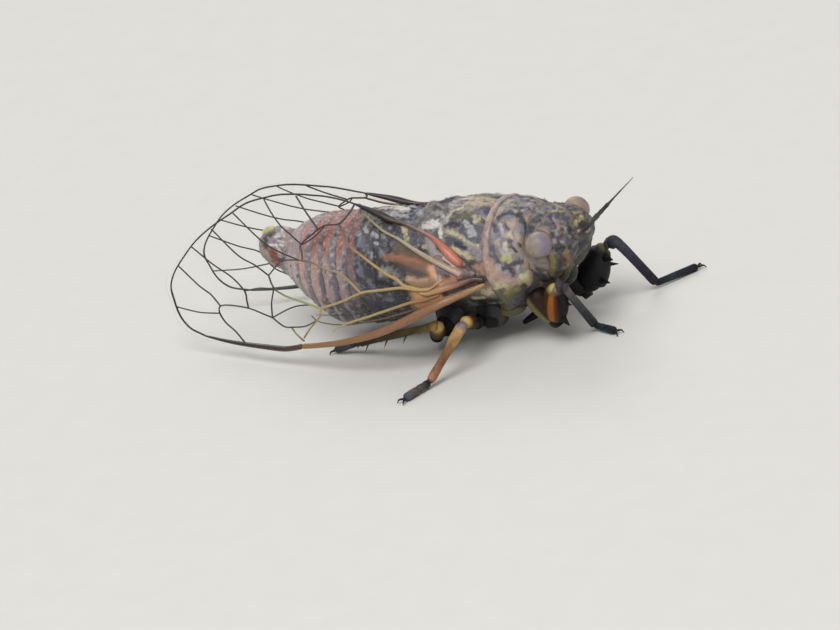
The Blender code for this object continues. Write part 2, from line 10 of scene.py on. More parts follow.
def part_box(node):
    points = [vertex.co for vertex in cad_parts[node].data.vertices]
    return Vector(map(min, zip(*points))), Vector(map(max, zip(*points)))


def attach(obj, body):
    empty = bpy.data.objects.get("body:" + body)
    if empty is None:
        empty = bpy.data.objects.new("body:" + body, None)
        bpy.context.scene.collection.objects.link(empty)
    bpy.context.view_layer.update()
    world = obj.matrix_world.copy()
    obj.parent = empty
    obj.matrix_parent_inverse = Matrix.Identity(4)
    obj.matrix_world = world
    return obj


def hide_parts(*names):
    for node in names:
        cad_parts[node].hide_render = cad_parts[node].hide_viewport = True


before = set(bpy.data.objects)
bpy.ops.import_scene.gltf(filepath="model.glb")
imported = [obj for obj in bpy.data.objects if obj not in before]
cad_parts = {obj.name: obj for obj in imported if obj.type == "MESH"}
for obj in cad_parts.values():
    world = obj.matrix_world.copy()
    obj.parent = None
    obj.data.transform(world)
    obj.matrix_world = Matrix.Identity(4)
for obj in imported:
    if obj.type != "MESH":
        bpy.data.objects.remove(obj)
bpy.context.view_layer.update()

mm = 0.001
bodyLength = 17.0
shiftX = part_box("pygofer")[0].x / mm + bodyLength


def place(points):
    return (np.asarray(points, float) + (shiftX, 0, 0)) * mm


def linear(code):
    channels = np.array([int(code[i : i + 2], 16) / 255 for i in (1, 3, 5)])
    return np.where(channels <= 0.04045, channels / 12.92, ((channels + 0.055) / 1.055) ** 2.4)


# The photograph's view, which the camera takes and the markings are read along
view = {
    "centre": (-8.96, -1.51, 1.34),
    "distance": 200.0,
    "azimuth": 32.4,
    "elevation": 23.1,
    "roll": -15.5,
    "pxPerMm": 22.8,
    "width": 840,
    "height": 630,
    "sensor": 36.0,
}


def sightAxes():
    azimuth = math.radians(view["azimuth"])
    elevation = math.radians(view["elevation"])
    roll = math.radians(view["roll"])
    flat = math.cos(elevation)
    back = np.array((math.sin(azimuth) * flat, -math.cos(azimuth) * flat, math.sin(elevation)))
    level = np.cross((0, 0, 1), back)
    level /= np.linalg.norm(level)
    lift = np.cross(back, level)
    right = math.cos(roll) * level + math.sin(roll) * lift
    return right, np.cross(back, right), back


sightRight, sightUp, sightBack = sightAxes()
eyePoint = np.array(view["centre"]) + sightBack * view["distance"]


def sightOf(pixel):
    across = (pixel[0] - view["width"] / 2) / view["pxPerMm"]
    rise = (view["height"] / 2 - pixel[1]) / view["pxPerMm"]
    line = np.array(view["centre"]) + sightRight * across + sightUp * rise - eyePoint
    return line / np.linalg.norm(line)


# Shapes: curves through stations, soft steps, random mottling
def smoothThrough(stations):
    table = np.array(sorted(stations), float)
    xs, values = table[:, 0], table[:, 1:]
    slopes = np.gradient(values, xs, axis=0)

    def at(x):
        x = np.atleast_1d(np.asarray(x, float))
        i = np.clip(np.searchsorted(xs, x) - 1, 0, len(xs) - 2)
        step = (xs[i + 1] - xs[i])[:, None]
        t = np.clip((x - xs[i])[:, None] / step, 0, 1)
        start = values[i] * (1 + 2 * t) * (1 - t) ** 2 + slopes[i] * step * t * (1 - t) ** 2
        return start + values[i + 1] * t * t * (3 - 2 * t) - slopes[i + 1] * step * t * t * (1 - t)

    return at


def softStep(low, high, value):
    t = np.clip((value - low) / (high - low), 0, 1)
    return t * t * (3 - 2 * t)


def bell(value, centre, half):
    # 1 at the centre, falling to both sides over about this half width
    return np.exp(-(((value - centre) / half) ** 2))


def mottle(points, size, seed, waves=26):
    random = np.random.default_rng(seed)
    flat = np.reshape(points, (-1, 3))
    total = np.zeros(len(flat))
    for _ in range(waves):
        direction = random.normal(size=3)
        direction *= 2 * math.pi / (np.linalg.norm(direction) * size * random.uniform(0.7, 1.6))
        total += np.sin(flat @ direction + random.uniform(0, 2 * math.pi))
    return (total / math.sqrt(waves / 2)).reshape(np.shape(points)[:-1])


def spline(points, step):
    # A smooth line through the points, in steps of about this length
    points = np.array(points, float)
    padded = np.vstack([2 * points[0] - points[1], points, 2 * points[-1] - points[-2]])
    found = []
    for i in range(1, len(padded) - 2):
        a, b, c, d = padded[i - 1 : i + 3]
        count = max(2, int(np.linalg.norm(c - b) / step))
        t = (np.arange(count) / count)[:, None]
        found.append(b + 0.5 * t * (c - a + t * (2 * a - 5 * b + 4 * c - d + t * (3 * (b - c) + d - a))))
    return np.vstack(found + [points[-1:]])


def closedSpline(points, step):
    points = list(points)
    whole = spline(points[-2:] + points + points[:2], step)
    first = int(np.argmin(np.linalg.norm(whole - points[0], axis=1)))
    last = first + 5 + int(np.argmin(np.linalg.norm(whole[first + 5 :] - points[0], axis=1)))
    return whole[first:last]


def lineDistance(points, line):
    flat = np.reshape(points, (-1, np.shape(points)[-1]))
    best = np.linalg.norm(flat - line[0], axis=1)
    for a, b in zip(line, line[1:]):
        run = b - a
        share = np.clip(((flat - a) @ run) / max(run @ run, 1e-9), 0, 1)
        best = np.minimum(best, np.linalg.norm(flat - (a + share[:, None] * run), axis=1))
    return best.reshape(np.shape(points)[:-1])


def gridNormals(grid):
    around = np.roll(grid, -1, axis=1) - np.roll(grid, 1, axis=1)
    along = np.gradient(grid, axis=0)
    normal = np.cross(along, around)
    normal /= np.maximum(np.linalg.norm(normal, axis=2), 1e-9)[..., None]
    outward = grid - grid.mean(axis=1, keepdims=True)
    return normal * np.sign((normal * outward).sum(axis=(1, 2)).mean() or 1)


def gridFaces(rows, sides, first=0):
    r, i = np.meshgrid(np.arange(rows - 1), np.arange(sides), indexing="ij")
    j = (i + 1) % sides
    quads = np.stack([r * sides + i, r * sides + j, (r + 1) * sides + j, (r + 1) * sides + i], axis=2)
    return quads.reshape(-1, 4) + first


# Nodes and materials
def addNode(tree, kind, settings=None, links=None):
    node = tree.nodes.new(kind)
    for key, value in (settings or {}).items():
        if isinstance(key, int) or key in node.inputs:
            node.inputs[key].default_value = value
        else:
            setattr(node, key, value)
    for socket, source in (links or {}).items():
        tree.links.new(source, node.inputs[socket])
    return node


def newMaterial(name, settings):
    material = bpy.data.materials.new(name)
    material.use_nodes = True
    shader = material.node_tree.nodes["Principled BSDF"]
    for key, value in settings.items():
        shader.inputs[key].default_value = value
    return material, material.node_tree, shader


def perMm(size):
    # Scale of a pattern whose cells are this many millimetres across
    return 1 / (size * mm)


def paintedCuticle(name, look):
    # Paint comes from the mesh, flecked by a fine grain; pits and wrinkles are bump
    material, tree, shader = newMaterial(
        name, {"IOR": look.get("ior", 1.56), "Roughness": look["roughness"], "Metallic": 0.0,
               "Coat Weight": look.get("coat", 0.0), "Coat Roughness": look.get("coatRoughness", 0.2),
               "Sheen Weight": look.get("sheen", 0.0), "Sheen Roughness": 0.4,
               "Subsurface Weight": look.get("glow", 0.0)})
    shader.inputs["Subsurface Radius"].default_value = (0.35, 0.2, 0.12)
    shader.inputs["Subsurface Scale"].default_value = 0.4 * mm
    where = addNode(tree, "ShaderNodeTexCoord").outputs["Object"]
    colour = addNode(tree, "ShaderNodeAttribute", {"attribute_name": "paint"}).outputs["Color"]
    grain = addNode(tree, "ShaderNodeTexNoise", {"Scale": perMm(look["grain"]), "Detail": 5.0,
                                                "Roughness": 0.62}, {"Vector": where}).outputs["Fac"]
    fleck = addNode(tree, "ShaderNodeMapRange", {"From Min": 0.3, "From Max": 0.7,
                                                "To Min": 1 - look["fleck"], "To Max": 1 + look["fleck"]},
                    {"Value": grain}).outputs["Result"]
    flecked = addNode(tree, "ShaderNodeVectorMath", {"operation": "SCALE"},
                      {0: colour, "Scale": fleck}).outputs["Vector"]
    tree.links.new(flecked, shader.inputs["Base Color"])
    gloss = addNode(tree, "ShaderNodeMapRange", {"From Min": 0.3, "From Max": 0.7,
                                                "To Min": look["roughness"] - 0.1,
                                                "To Max": look["roughness"] + 0.14},
                    {"Value": grain}).outputs["Result"]
    tree.links.new(gloss, shader.inputs["Roughness"])
    pits = addNode(tree, "ShaderNodeTexVoronoi", {"Scale": perMm(look["pit"])},
                   {"Vector": where}).outputs["Distance"]
    height = addNode(tree, "ShaderNodeMath", {"operation": "MULTIPLY_ADD", 1: look["pitShare"]},
                     {0: pits, 2: grain}).outputs["Value"]
    bump = addNode(tree, "ShaderNodeBump", {"Strength": look["relief"], "Distance": look["depth"] * mm},
                   {"Height": height}).outputs["Normal"]
    tree.links.new(bump, shader.inputs["Normal"])
    return material


# Sclerotised cuticle, finely punctured: grows dull between its pits, with small soft highlights
platesLook = {"roughness": 0.48, "grain": 0.11, "fleck": 0.2, "pit": 0.1, "pitShare": 0.6,
              "relief": 0.4, "depth": 0.025, "coat": 0.06, "coatRoughness": 0.35}
# Tergite cuticle, satin: smoother, thin enough to glow a little at its pale margins
tergiteLook = {"roughness": 0.46, "grain": 0.07, "fleck": 0.22, "pit": 0.07, "pitShare": 0.5,
               "relief": 0.4, "depth": 0.02, "glow": 0.08}
# Leg cuticle, waxy and smooth, half clear where it is pale
legLook = {"roughness": 0.5, "grain": 0.12, "fleck": 0.2, "pit": 0.06, "pitShare": 0.35,
           "relief": 0.35, "depth": 0.015, "glow": 0.02, "ior": 1.3}
# Compound eye cornea, tiny domed lenses: facets of 0.03 mm drawn at 0.05 mm so that they show
eyeLook = {"roughness": 0.42, "grain": 0.3, "fleck": 0.14, "pit": 0.05, "pitShare": -1.0,
           "relief": 0.6, "depth": 0.014, "coat": 0.12, "coatRoughness": 0.25, "glow": 0.1, "ior": 1.48}
# Vein cuticle, a smooth amber tube
veinLook = {"roughness": 0.38, "grain": 0.1, "fleck": 0.2, "pit": 0.06, "pitShare": 0.3,
            "relief": 0.3, "depth": 0.012, "glow": 0.06, "coat": 0.1}

platesMaterial = paintedCuticle("sclerotised cuticle punctured", platesLook)
tergiteMaterial = paintedCuticle("tergite cuticle satin", tergiteLook)
legMaterial = paintedCuticle("leg cuticle waxy", legLook)
eyeMaterial = paintedCuticle("compound eye cornea faceted", eyeLook)
veinMaterial = paintedCuticle("vein cuticle amber tube", veinLook)


def addPiece(name, points, faces, material, colours, replaced=()):
    placed = place(points)
    mesh = bpy.data.meshes.new(name)
    mesh.from_pydata(placed.tolist(), [], [list(f) for f in faces])
    mesh.update()
    rgba = np.ones((len(placed), 4), np.float32)
    colours = np.reshape(colours, (len(placed), -1))
    rgba[:, : colours.shape[1]] = np.clip(colours, 0.0, 1.0)
    layer = mesh.color_attributes.new("paint", "FLOAT_COLOR", "POINT")
    layer.data.foreach_set("color", rgba.ravel())
    mesh.materials.append(material)
    mesh.shade_smooth()
    made = bpy.data.objects.new(name, mesh)
    bpy.context.scene.collection.objects.link(made)
    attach(made, "root")
    if replaced:
        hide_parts(*replaced)
    return made


def closedShell(grid, colours, first=0):
    # Points, faces and colours of a closed surface from rings, with a fan at both ends
    rows, sides = grid.shape[:2]
    ends = np.array([grid[0].mean(axis=0), grid[-1].mean(axis=0)])
    points = np.vstack([grid.reshape(-1, 3), ends])
    paint = np.vstack([colours.reshape(-1, 3), colours[0].mean(axis=0), colours[-1].mean(axis=0)])
    quads = gridFaces(rows, sides)
    i = np.arange(sides)
    j = (i + 1) % sides
    total = rows * sides
    front = np.stack([np.full(sides, total), j, i], axis=1)
    rear = np.stack([np.full(sides, total + 1), total - sides + i, total - sides + j], axis=1)
    a, b, c = (points[front[:, k]] for k in range(3))
    inside = points[:-2].mean(axis=0)
    outwards = (np.cross(b - a, c - a) * (a - inside)).sum()
    if outwards < 0:
        quads, front, rear = quads[:, ::-1], front[:, ::-1], rear[:, ::-1]
    faces = [tuple(f + first) for f in quads] + [tuple(f + first) for f in np.vstack([front, rear])]
    return points, faces, paint


def joinShells(parts):
    points, faces, paint = [], [], []
    first = 0
    for grid, colours in parts:
        p, f, c = closedShell(grid, colours, first)
        points.append(p)
        faces += f
        paint.append(c)
        first += len(p)
    return np.vstack(points), faces, np.vstack(paint)


def addShells(name, parts, material, replaced):
    points, faces, paint = joinShells(parts)
    addPiece(name, points, faces, material, paint, replaced)


def raised(grid, relief):
    return grid + gridNormals(grid) * relief[..., None]


# Marks: strokes read from the photograph, cast on the skin that carries them
def treeOf(grid):
    faces = gridFaces(*grid.shape[:2])
    return BVHTree.FromPolygons(grid.reshape(-1, 3).tolist(), faces.tolist())


def castOn(tree, pixel):
    # Where the sight line of a pixel first meets the skin, or None
    hit = tree.ray_cast(Vector(eyePoint), Vector(sightOf(pixel)))[0]
    return None if hit is None else np.array(hit)


# Tones of the cuticle, read off the photograph: colour, and how far the mark stands up in mm
palette = {
    "black": ("#161418", 0.0),
    "soot": ("#292636", 0.0),
    "umber": ("#4a392e", 0.0),
    "plum": ("#463a44", 0.0),
    "navy": ("#353a58", 0.0),
    "slate": ("#4c505f", 0.0),
    "steel": ("#757a88", 0.0),
    "lilac": ("#978b92", 0.0),
    "silver": ("#b1afae", 0.01),
    "white": ("#e4dfd6", 0.02),
    "cream": ("#c9bd98", 0.015),
    "sulphur": ("#b9b27a", 0.015),
    "olive": ("#837c4a", 0.01),
    "moss": ("#5a5b42", 0.0),
    "buff": ("#b59f82", 0.01),
    "rosy": ("#b8988a", 0.01),
    "salmon": ("#b38a72", 0.01),
    "orange": ("#8c6430", 0.01),
    "rust": ("#86422a", 0.0),
    "taupe": ("#8d7d76", 0.005),
    "straw": ("#a3946e", 0.008),
}


def addLine(grid, colours, relief, line, half, tone, rise):
    # A stroke with frayed edges along a line in mm, and its mirror image, which is fainter on the right side
    spots = np.array(line, float)
    side = 1 if spots[:, 1].mean() > 0 else -1
    skin = grid.copy()
    skin[..., 1] = side * np.abs(grid[..., 1])
    fray = 0.22 * mottle(skin, 0.4, 5) + 0.24 * mottle(skin, 0.17, 6)
    away = lineDistance(skin, spots) / half + fray
    share = 0.9 * (1 - softStep(0.5, 1.45, away))
    if side > 0:
        share *= np.where(grid[..., 1] < 0, 0.4, 1.0)
    colours += share[..., None] * (linear(palette[tone][0]) - colours)
    relief += share * rise


def addMarks(grid, colours, relief, marks, tree):
    # Each mark is a tone, a half width in mm and the pixels that it runs through
    for tone, half, *pixels in marks:
        line = [p for p in (castOn(tree, pixel) for pixel in pixels) if p is not None]
        if line:
            addLine(grid, colours, relief, line, half, tone, palette[tone][1])


def blend(colours, code, share):
    colours += np.clip(share, 0, 1)[..., None] * (linear(code) - colours)


# Trunk
trunk = {
    "sides": 240,
    "rowStep": 0.045,
    "head": ((-2.8, 3.94, 1.8, 1.68), (-2.0, 3.92, 1.78, 1.68), (-1.5, 3.86, 1.68, 1.6),
             (-1.15, 3.95, 1.52, 1.35), (-0.92, 4.1, 1.3, 0.98), (-0.8, 4.18, 0.9, 0.6),
             (-0.76, 4.2, 0.3, 0.2)),
    "pronotum": ((-2.72, 3.9, 1.6, 1.5), (-2.84, 3.9, 1.86, 1.76), (-3.2, 3.78, 2.25, 2.02),
                 (-3.75, 3.66, 2.58, 2.24), (-3.95, 3.6, 2.68, 2.31), (-4.1, 3.58, 2.74, 2.36),
                 (-4.3, 3.56, 2.78, 2.4), (-4.36, 3.56, 2.72, 2.36), (-4.4, 3.56, 2.4, 2.1)),
    "thorax": ((-4.2, 3.6, 2.5, 2.26), (-4.62, 3.6, 2.6, 2.36), (-5.0, 3.62, 2.6, 2.4),
               (-6.1, 3.63, 2.58, 2.42), (-7.0, 3.57, 2.52, 2.37), (-7.7, 3.52, 2.45, 2.33),
               (-8.3, 3.46, 2.35, 2.25), (-8.75, 3.4, 2.2, 2.12)),
    "abdomen": ((-8.3, 3.4, 2.2, 2.18), (-9.5, 3.27, 2.36, 2.46), (-11.0, 3.12, 2.3, 2.54),
                (-12.0, 3.08, 2.28, 2.54), (-13.3, 3.13, 2.22, 2.44), (-14.0, 3.35, 1.95, 2.1),
                (-14.6, 3.49, 1.62, 1.74), (-15.1, 3.58, 1.25, 1.33), (-15.5, 3.66, 1.0, 1.05)),
    "pygofer": ((-15.0, 3.66, 0.96, 1.0), (-15.3, 3.74, 1.04, 1.1), (-15.95, 4.1, 0.94, 0.97),
                (-16.6, 4.25, 0.7, 0.7), (-16.9, 4.23, 0.42, 0.42), (-17.0, 4.22, 0.16, 0.16)),
}
slantPerMm = 0.12


def trunkGrid(sections, rowStep, sides, slant=None):
    # Oval rings from front to rear, leaned back by slant where one is given
    at = smoothThrough(sections)
    xs = [s[0] for s in sections]
    rows = max(4, int((max(xs) - min(xs)) / rowStep))
    x = np.linspace(max(xs), min(xs), rows)
    middle, halfWidth, halfHeight = at(x).T
    angle = 2 * math.pi * (np.arange(sides) + 0.5) / sides
    c, s = np.cos(angle), np.sin(angle)
    grid = np.zeros((rows, sides, 3))
    grid[..., 0] = x[:, None]
    grid[..., 1] = halfWidth[:, None] * c
    grid[..., 2] = middle[:, None] + halfHeight[:, None] * s
    if slant is not None:
        grid[..., 0] -= slant(x)[:, None] * halfHeight[:, None] * s
    return grid


def evenPaint(grid, code):
    return np.ones(grid.shape) * linear(code)


tanMiddle = (-2.25, 1.75, 4.35)


def tanAroundEyes(grid, colours, reach):
    # Plain tan skin that the eyes sit in
    for side in (1, -1):
        near = np.linalg.norm(grid - np.multiply(tanMiddle, (1, side, 1)), axis=-1)
        blend(colours, "#9a8d86", softStep(reach, reach - 0.35, near + 0.08 * mottle(grid, 0.4, 12)) * 0.85)


def mosaic(grid, tones, size, seed):
    # Islands of three tones parted by thin dark squiggles; size in mm
    field = mottle(grid, size, seed) + 0.35 * mottle(grid, size * 0.45, seed + 1)
    colours = evenPaint(grid, tones[0])
    blend(colours, tones[1], softStep(0.1, 1.0, field))
    blend(colours, tones[2], softStep(-0.3, -1.1, field))
    blend(colours, tones[3], bell(field, -0.1, 0.17) * 0.8)
    return colours, field


# Head capsule, with the place of the eye on its left side
eye = {"centre": (-1.95, 1.7, 4.63), "radii": (0.59, 0.57, 0.59), "turn": 0.13}
eyeRim = {"reach": 0.64, "half": 0.13, "rise": 0.09}
cheek = {"top": 3.9, "fallBack": 0.45}
headTones = ("#5c5550", "#7b7067", "#45434e", "#2a2730")
headMarks = (
    ("slate", 0.1, (560, 206), (570, 205), (579, 207)),
    ("slate", 0.14, (556, 217), (563, 218), (570, 222)),
    ("taupe", 0.07, (549, 211), (556, 211)),
    ("straw", 0.09, (554, 211), (561, 211)),
    ("straw", 0.09, (574, 213), (578, 212), (583, 212)),
    ("umber", 0.045, (576, 216), (585, 214)),
    ("straw", 0.13, (575, 223), (578, 221), (582, 219)),
    ("sulphur", 0.07, (576, 222), (579, 220)),
    ("plum", 0.13, (588, 208), (589, 214), (590, 221)),
    ("umber", 0.08, (576, 228), (583, 225), (590, 222)),
    ("taupe", 0.06, (572, 233), (580, 231), (588, 232)),
    ("slate", 0.09, (590, 228), (592, 235)),
    ("plum", 0.1, (549, 215), (551, 220)),
    ("lilac", 0.05, (553, 218), (555, 221)),
    ("soot", 0.07, (554, 224), (556, 228)),
    ("taupe", 0.08, (557, 221), (559, 227)),
    ("taupe", 0.06, (562, 226), (566, 228)),
    ("buff", 0.05, (565, 229), (567, 232)),
    ("soot", 0.08, (570, 228), (570, 233)),
    ("taupe", 0.12, (542, 229), (547, 230)),
    ("taupe", 0.06, (556, 230), (557, 234)),
    ("umber", 0.1, (561, 231), (563, 237)),
    ("taupe", 0.05, (568, 235), (570, 237)),
    ("lilac", 0.07, (555, 240), (556, 242)),
    ("lilac", 0.06, (561, 242), (564, 242)),
    ("plum", 0.06, (558, 238), (559, 244)),
    ("slate", 0.09, (566, 240), (572, 241)),
    ("umber", 0.3, (553, 259), (560, 261), (566, 261)),
    ("umber", 0.24, (552, 272), (560, 274), (566, 272)),
    ("black", 0.12, (553, 248), (561, 247), (570, 247)),
    ("olive", 0.11, (553, 255), (554, 264), (553, 274)),
    ("moss", 0.06, (557, 256), (557, 270)),
    ("orange", 0.09, (567, 252), (568, 262), (567, 270)),
    ("soot", 0.14, (575, 250), (574, 276)),
    ("taupe", 0.12, (546, 262), (546, 268)),
)


def eyeCentre(side):
    # The head is turned a little to its right, which puts its left eye ahead
    x, y, z = eye["centre"]
    return np.array((x + side * eye["turn"], side * y, z))


def makeHead():
    grid = trunkGrid(trunk["head"], 0.03, 200)
    # The cheeks fall back below the eyes
    drop = np.clip(cheek["top"] - grid[..., 2], 0, None)
    grid[..., 0] -= cheek["fallBack"] * drop * softStep(-2.4, -1.3, grid[..., 0])
    tree = treeOf(grid)
    colours, field = mosaic(grid, headTones, 0.34, 11)
    blend(colours, "#1a1817", softStep(3.3, 2.5, grid[..., 2]) * 0.85)
    tanAroundEyes(grid, colours, 0.95)
    relief = 0.012 * field
    # A low rim of skin holds each eye
    for side in (1, -1):
        reach = np.linalg.norm(grid - eyeCentre(side), axis=-1)
        relief += eyeRim["rise"] * bell(reach, eyeRim["reach"], eyeRim["half"])
    addMarks(grid, colours, relief, headMarks, tree)
    grid = raised(grid, relief)
    addShells("head-capsule", [(grid, colours)], platesMaterial, ("head",))
    return grid, colours


# Postclypeus, the swollen front of the face, with its cross ridges
face = {
    "centre": (-1.45, 0.0, 3.8),
    "radii": (0.75, 0.87, 1.25),
    "lean": 36.0,
    "ridges": 9,
    "ridgeHeight": 0.04,
    "grooveHalf": 0.12,
    "rows": 150,
    "loraCentre": (-1.85, 0.9, 3.0),
    "loraRadii": (0.45, 0.24, 0.7),
    "chinCentre": (-2.0, 0.0, 2.4),
    "chinRadii": (0.38, 0.34, 0.6),
}
faceMarks = (
    ("olive", 0.09, (591, 236), (592, 243)),
    ("moss", 0.1, (578, 251), (586, 247)),
    ("olive", 0.07, (576, 267), (582, 262), (588, 253)),
    ("slate", 0.14, (574, 241), (583, 239)),
    ("soot", 0.16, (576, 247), (582, 246)),
    ("olive", 0.07, (580, 262), (586, 256)),
    ("slate", 0.09, (590, 228), (592, 235)),
    ("rosy", 0.05, (572, 233), (580, 231), (588, 232)),
    ("umber", 0.24, (560, 256), (560, 273)),
    ("orange", 0.11, (568, 252), (568, 270)),
    ("soot", 0.14, (575, 250), (574, 276)),
)


def ballAngles(rows, sides):
    # From the upper pole to the lower one, and around; the poles are left to the fans of closedShell
    level = math.pi * np.linspace(0.012, 0.988, rows)[:, None]
    return level, 2 * math.pi * (np.arange(sides) / sides)[None, :]


def ballGrid(centre, radii, rows, sides, lean=0.0, swell=None):
    level, turn = ballAngles(rows, sides)
    size = swell(level, turn) if swell else 1.0
    x = radii[0] * np.sin(level) * np.cos(turn) * size
    y = radii[1] * np.sin(level) * np.sin(turn) * size
    z = radii[2] * np.cos(level) * np.ones_like(turn)
    c, s = math.cos(lean), math.sin(lean)
    return np.stack([centre[0] + c * x + s * z, centre[1] + y, centre[2] - s * x + c * z], axis=2)


def makeFace():
    def ridged(level, turn):
        side = np.abs(np.sin(turn))
        front = softStep(-0.2, 0.4, np.cos(turn))
        wave = np.cos(2 * face["ridges"] * level - 1.2 * side)
        band = softStep(0.12, 0.3, side) * front * softStep(0, 0.5, np.sin(level))
        groove = bell(side, 0, face["grooveHalf"]) * front
        return 1 + face["ridgeHeight"] * (band * (0.5 + 0.5 * wave) - 0.6 * groove * np.sin(level))

    rows, lean = face["rows"], math.radians(face["lean"])
    grid = ballGrid(face["centre"], face["radii"], rows, rows, lean, ridged)
    # The near-black base is partly the face's own dark colour and partly painted shade
    colours = evenPaint(grid, "#2b2a2a")
    level, turn = ballAngles(rows, rows)
    side = np.abs(np.sin(turn))
    crest = softStep(-0.2, 0.9, np.cos(2 * face["ridges"] * level - 1.2 * side))
    blend(colours, "#4b492f", crest * softStep(0.15, 0.5, side) * softStep(-0.2, 0.4, np.cos(turn)) * 0.8)
    blend(colours, "#35342c", softStep(-0.5, 1.2, mottle(grid, 0.7, 21)) * 0.6)
    relief = np.zeros(grid.shape[:2])
    addMarks(grid, colours, relief, faceMarks, treeOf(grid))
    parts = [(grid, colours)]
    # Lora, the curved pads at both sides, and the anteclypeus below
    for side in (1, -1):
        pad = ballGrid(np.multiply(face["loraCentre"], (1, side, 1)), face["loraRadii"], 60, 60, lean)
        paint = evenPaint(pad, "#3c3a30")
        blend(paint, "#4f4a33", softStep(0.1, 0.9, mottle(pad, 0.5, 23)))
        parts.append((pad, paint))
    chin = ballGrid(face["chinCentre"], face["chinRadii"], 50, 50, lean)
    paint = evenPaint(chin, "#24221f")
    blend(paint, "#4d4838", softStep(0.0, 1.0, mottle(chin, 0.4, 24)))
    parts.append((chin, paint))
    addShells("postclypeus", parts, platesMaterial, ("face",))


# Eyes
eyeMarks = (
    ("buff", 0.1, (528, 240), (527, 248), (531, 255)),
)


def makeEyes():
    for label, side in (("left", 1), ("right", -1)):
        centre = eyeCentre(side)
        grid = ballGrid(centre, eye["radii"], 120, 120)
        right = grid * (1, -side, 1)
        colours = evenPaint(grid, "#958880")
        blend(colours, "#a29083", softStep(0.0, 1.2, mottle(grid, 0.6, 31)) * 0.5)
        outward = side * (grid[..., 1] - centre[1]) / eye["radii"][1]
        across = (grid - centre) @ (sightRight * (1, -side, 1)) / eye["radii"][0]
        rise = (grid[..., 2] - centre[2]) / eye["radii"][2]
        # Lavender on the outer side is a painted highlight where the light meets the lenses; the darker lower
        # part is painted shade; dull tan behind and on the inner side
        ahead = softStep(-0.35, 0.25, across) * softStep(-0.75, -0.1, rise)
        blend(colours, "#8c8190", ahead * softStep(-0.1, 0.35, outward))
        blend(colours, "#6a5f58", softStep(-0.35, -0.85, rise) * 0.7)
        blend(colours, "#a68b79", softStep(0.1, -0.35, outward))
        addMarks(right, colours, np.zeros(grid.shape[:2]), eyeMarks, treeOf(right))
        addShells("compound-eye-" + label, [(grid, colours)], eyeMaterial, ("eye_" + label,))


# Pronotum with its collar
pronotumTones = ("#958981", "#a8998b", "#827a7e", "#424052")
pronotumMarks = (
    ("buff", 0.24, (531, 217), (533, 230), (530, 250), (528, 262)),
    ("lilac", 0.17, (527, 208), (537, 210)),
    ("buff", 0.12, (527, 217), (530, 225)),
    ("moss", 0.09, (502, 203), (509, 202), (518, 204)),
    ("umber", 0.14, (497, 198), (502, 198)),
    ("umber", 0.1, (523, 197), (530, 198)),
    ("soot", 0.13, (499, 218), (503, 214), (510, 212), (517, 216)),
    ("steel", 0.08, (506, 216), (512, 217)),
    ("soot", 0.12, (519, 210), (521, 219), (526, 229), (527, 237)),
    ("steel", 0.1, (521, 226), (523, 234)),
    ("navy", 0.13, (494, 224), (496, 231)),
    ("steel", 0.14, (492, 236), (499, 236)),
    ("silver", 0.08, (500, 224), (503, 232)),
    ("plum", 0.06, (505, 224), (509, 230), (512, 236)),
    ("rosy", 0.12, (508, 223), (514, 224)),
    ("cream", 0.12, (510, 234), (512, 238)),
    ("lilac", 0.09, (514, 232), (515, 244)),
    ("buff", 0.1, (518, 236), (520, 242)),
    ("umber", 0.06, (519, 244), (521, 246)),
    ("rosy", 0.11, (496, 243), (498, 245)),
    ("steel", 0.09, (502, 239), (502, 248)),
    ("navy", 0.12, (511, 241), (511, 246)),
    ("soot", 0.06, (513, 248), (517, 252)),
    ("cream", 0.09, (505, 244), (506, 250)),
    ("silver", 0.12, (502, 252), (510, 254)),
    ("sulphur", 0.17, (505, 258), (509, 261)),
    ("slate", 0.11, (493, 247), (494, 256), (499, 263)),
    ("navy", 0.1, (489, 261), (491, 267), (494, 271)),
    ("navy", 0.12, (503, 268), (510, 266), (515, 263), (521, 262)),
    ("plum", 0.12, (511, 269), (513, 275)),
    ("silver", 0.12, (498, 267), (498, 270)),
    ("silver", 0.08, (518, 267), (518, 272)),
    ("lilac", 0.17, (498, 276), (508, 276)),
    ("cream", 0.17, (521, 276), (528, 276)),
    ("buff", 0.15, (533, 269), (537, 272)),
)


# The collar's forward part along the flank, and the side below it
flankMarks = (
    ("moss", 0.42, (503, 294), (512, 297), (521, 292)),
    ("slate", 0.3, (500, 302), (512, 305)),
    ("soot", 0.34, (524, 284), (524, 296), (521, 308)),
    ("olive", 0.2, (508, 291), (517, 290)),
    ("buff", 0.24, (489, 264), (492, 272), (498, 281), (507, 284), (517, 282), (529, 279)),
    ("rosy", 0.16, (488, 262), (492, 270), (500, 278)),
    ("cream", 0.16, (498, 287), (505, 284)),
    ("cream", 0.14, (521, 279), (529, 278)),
    ("rosy", 0.1, (508, 282), (514, 283)),
)


# Where the collar starts, its dark rear edge and the groove ahead of it, as x at mid height
collarEdge = {"front": -4.04, "groove": -4.03, "rim": -4.34, "middle": 3.58}


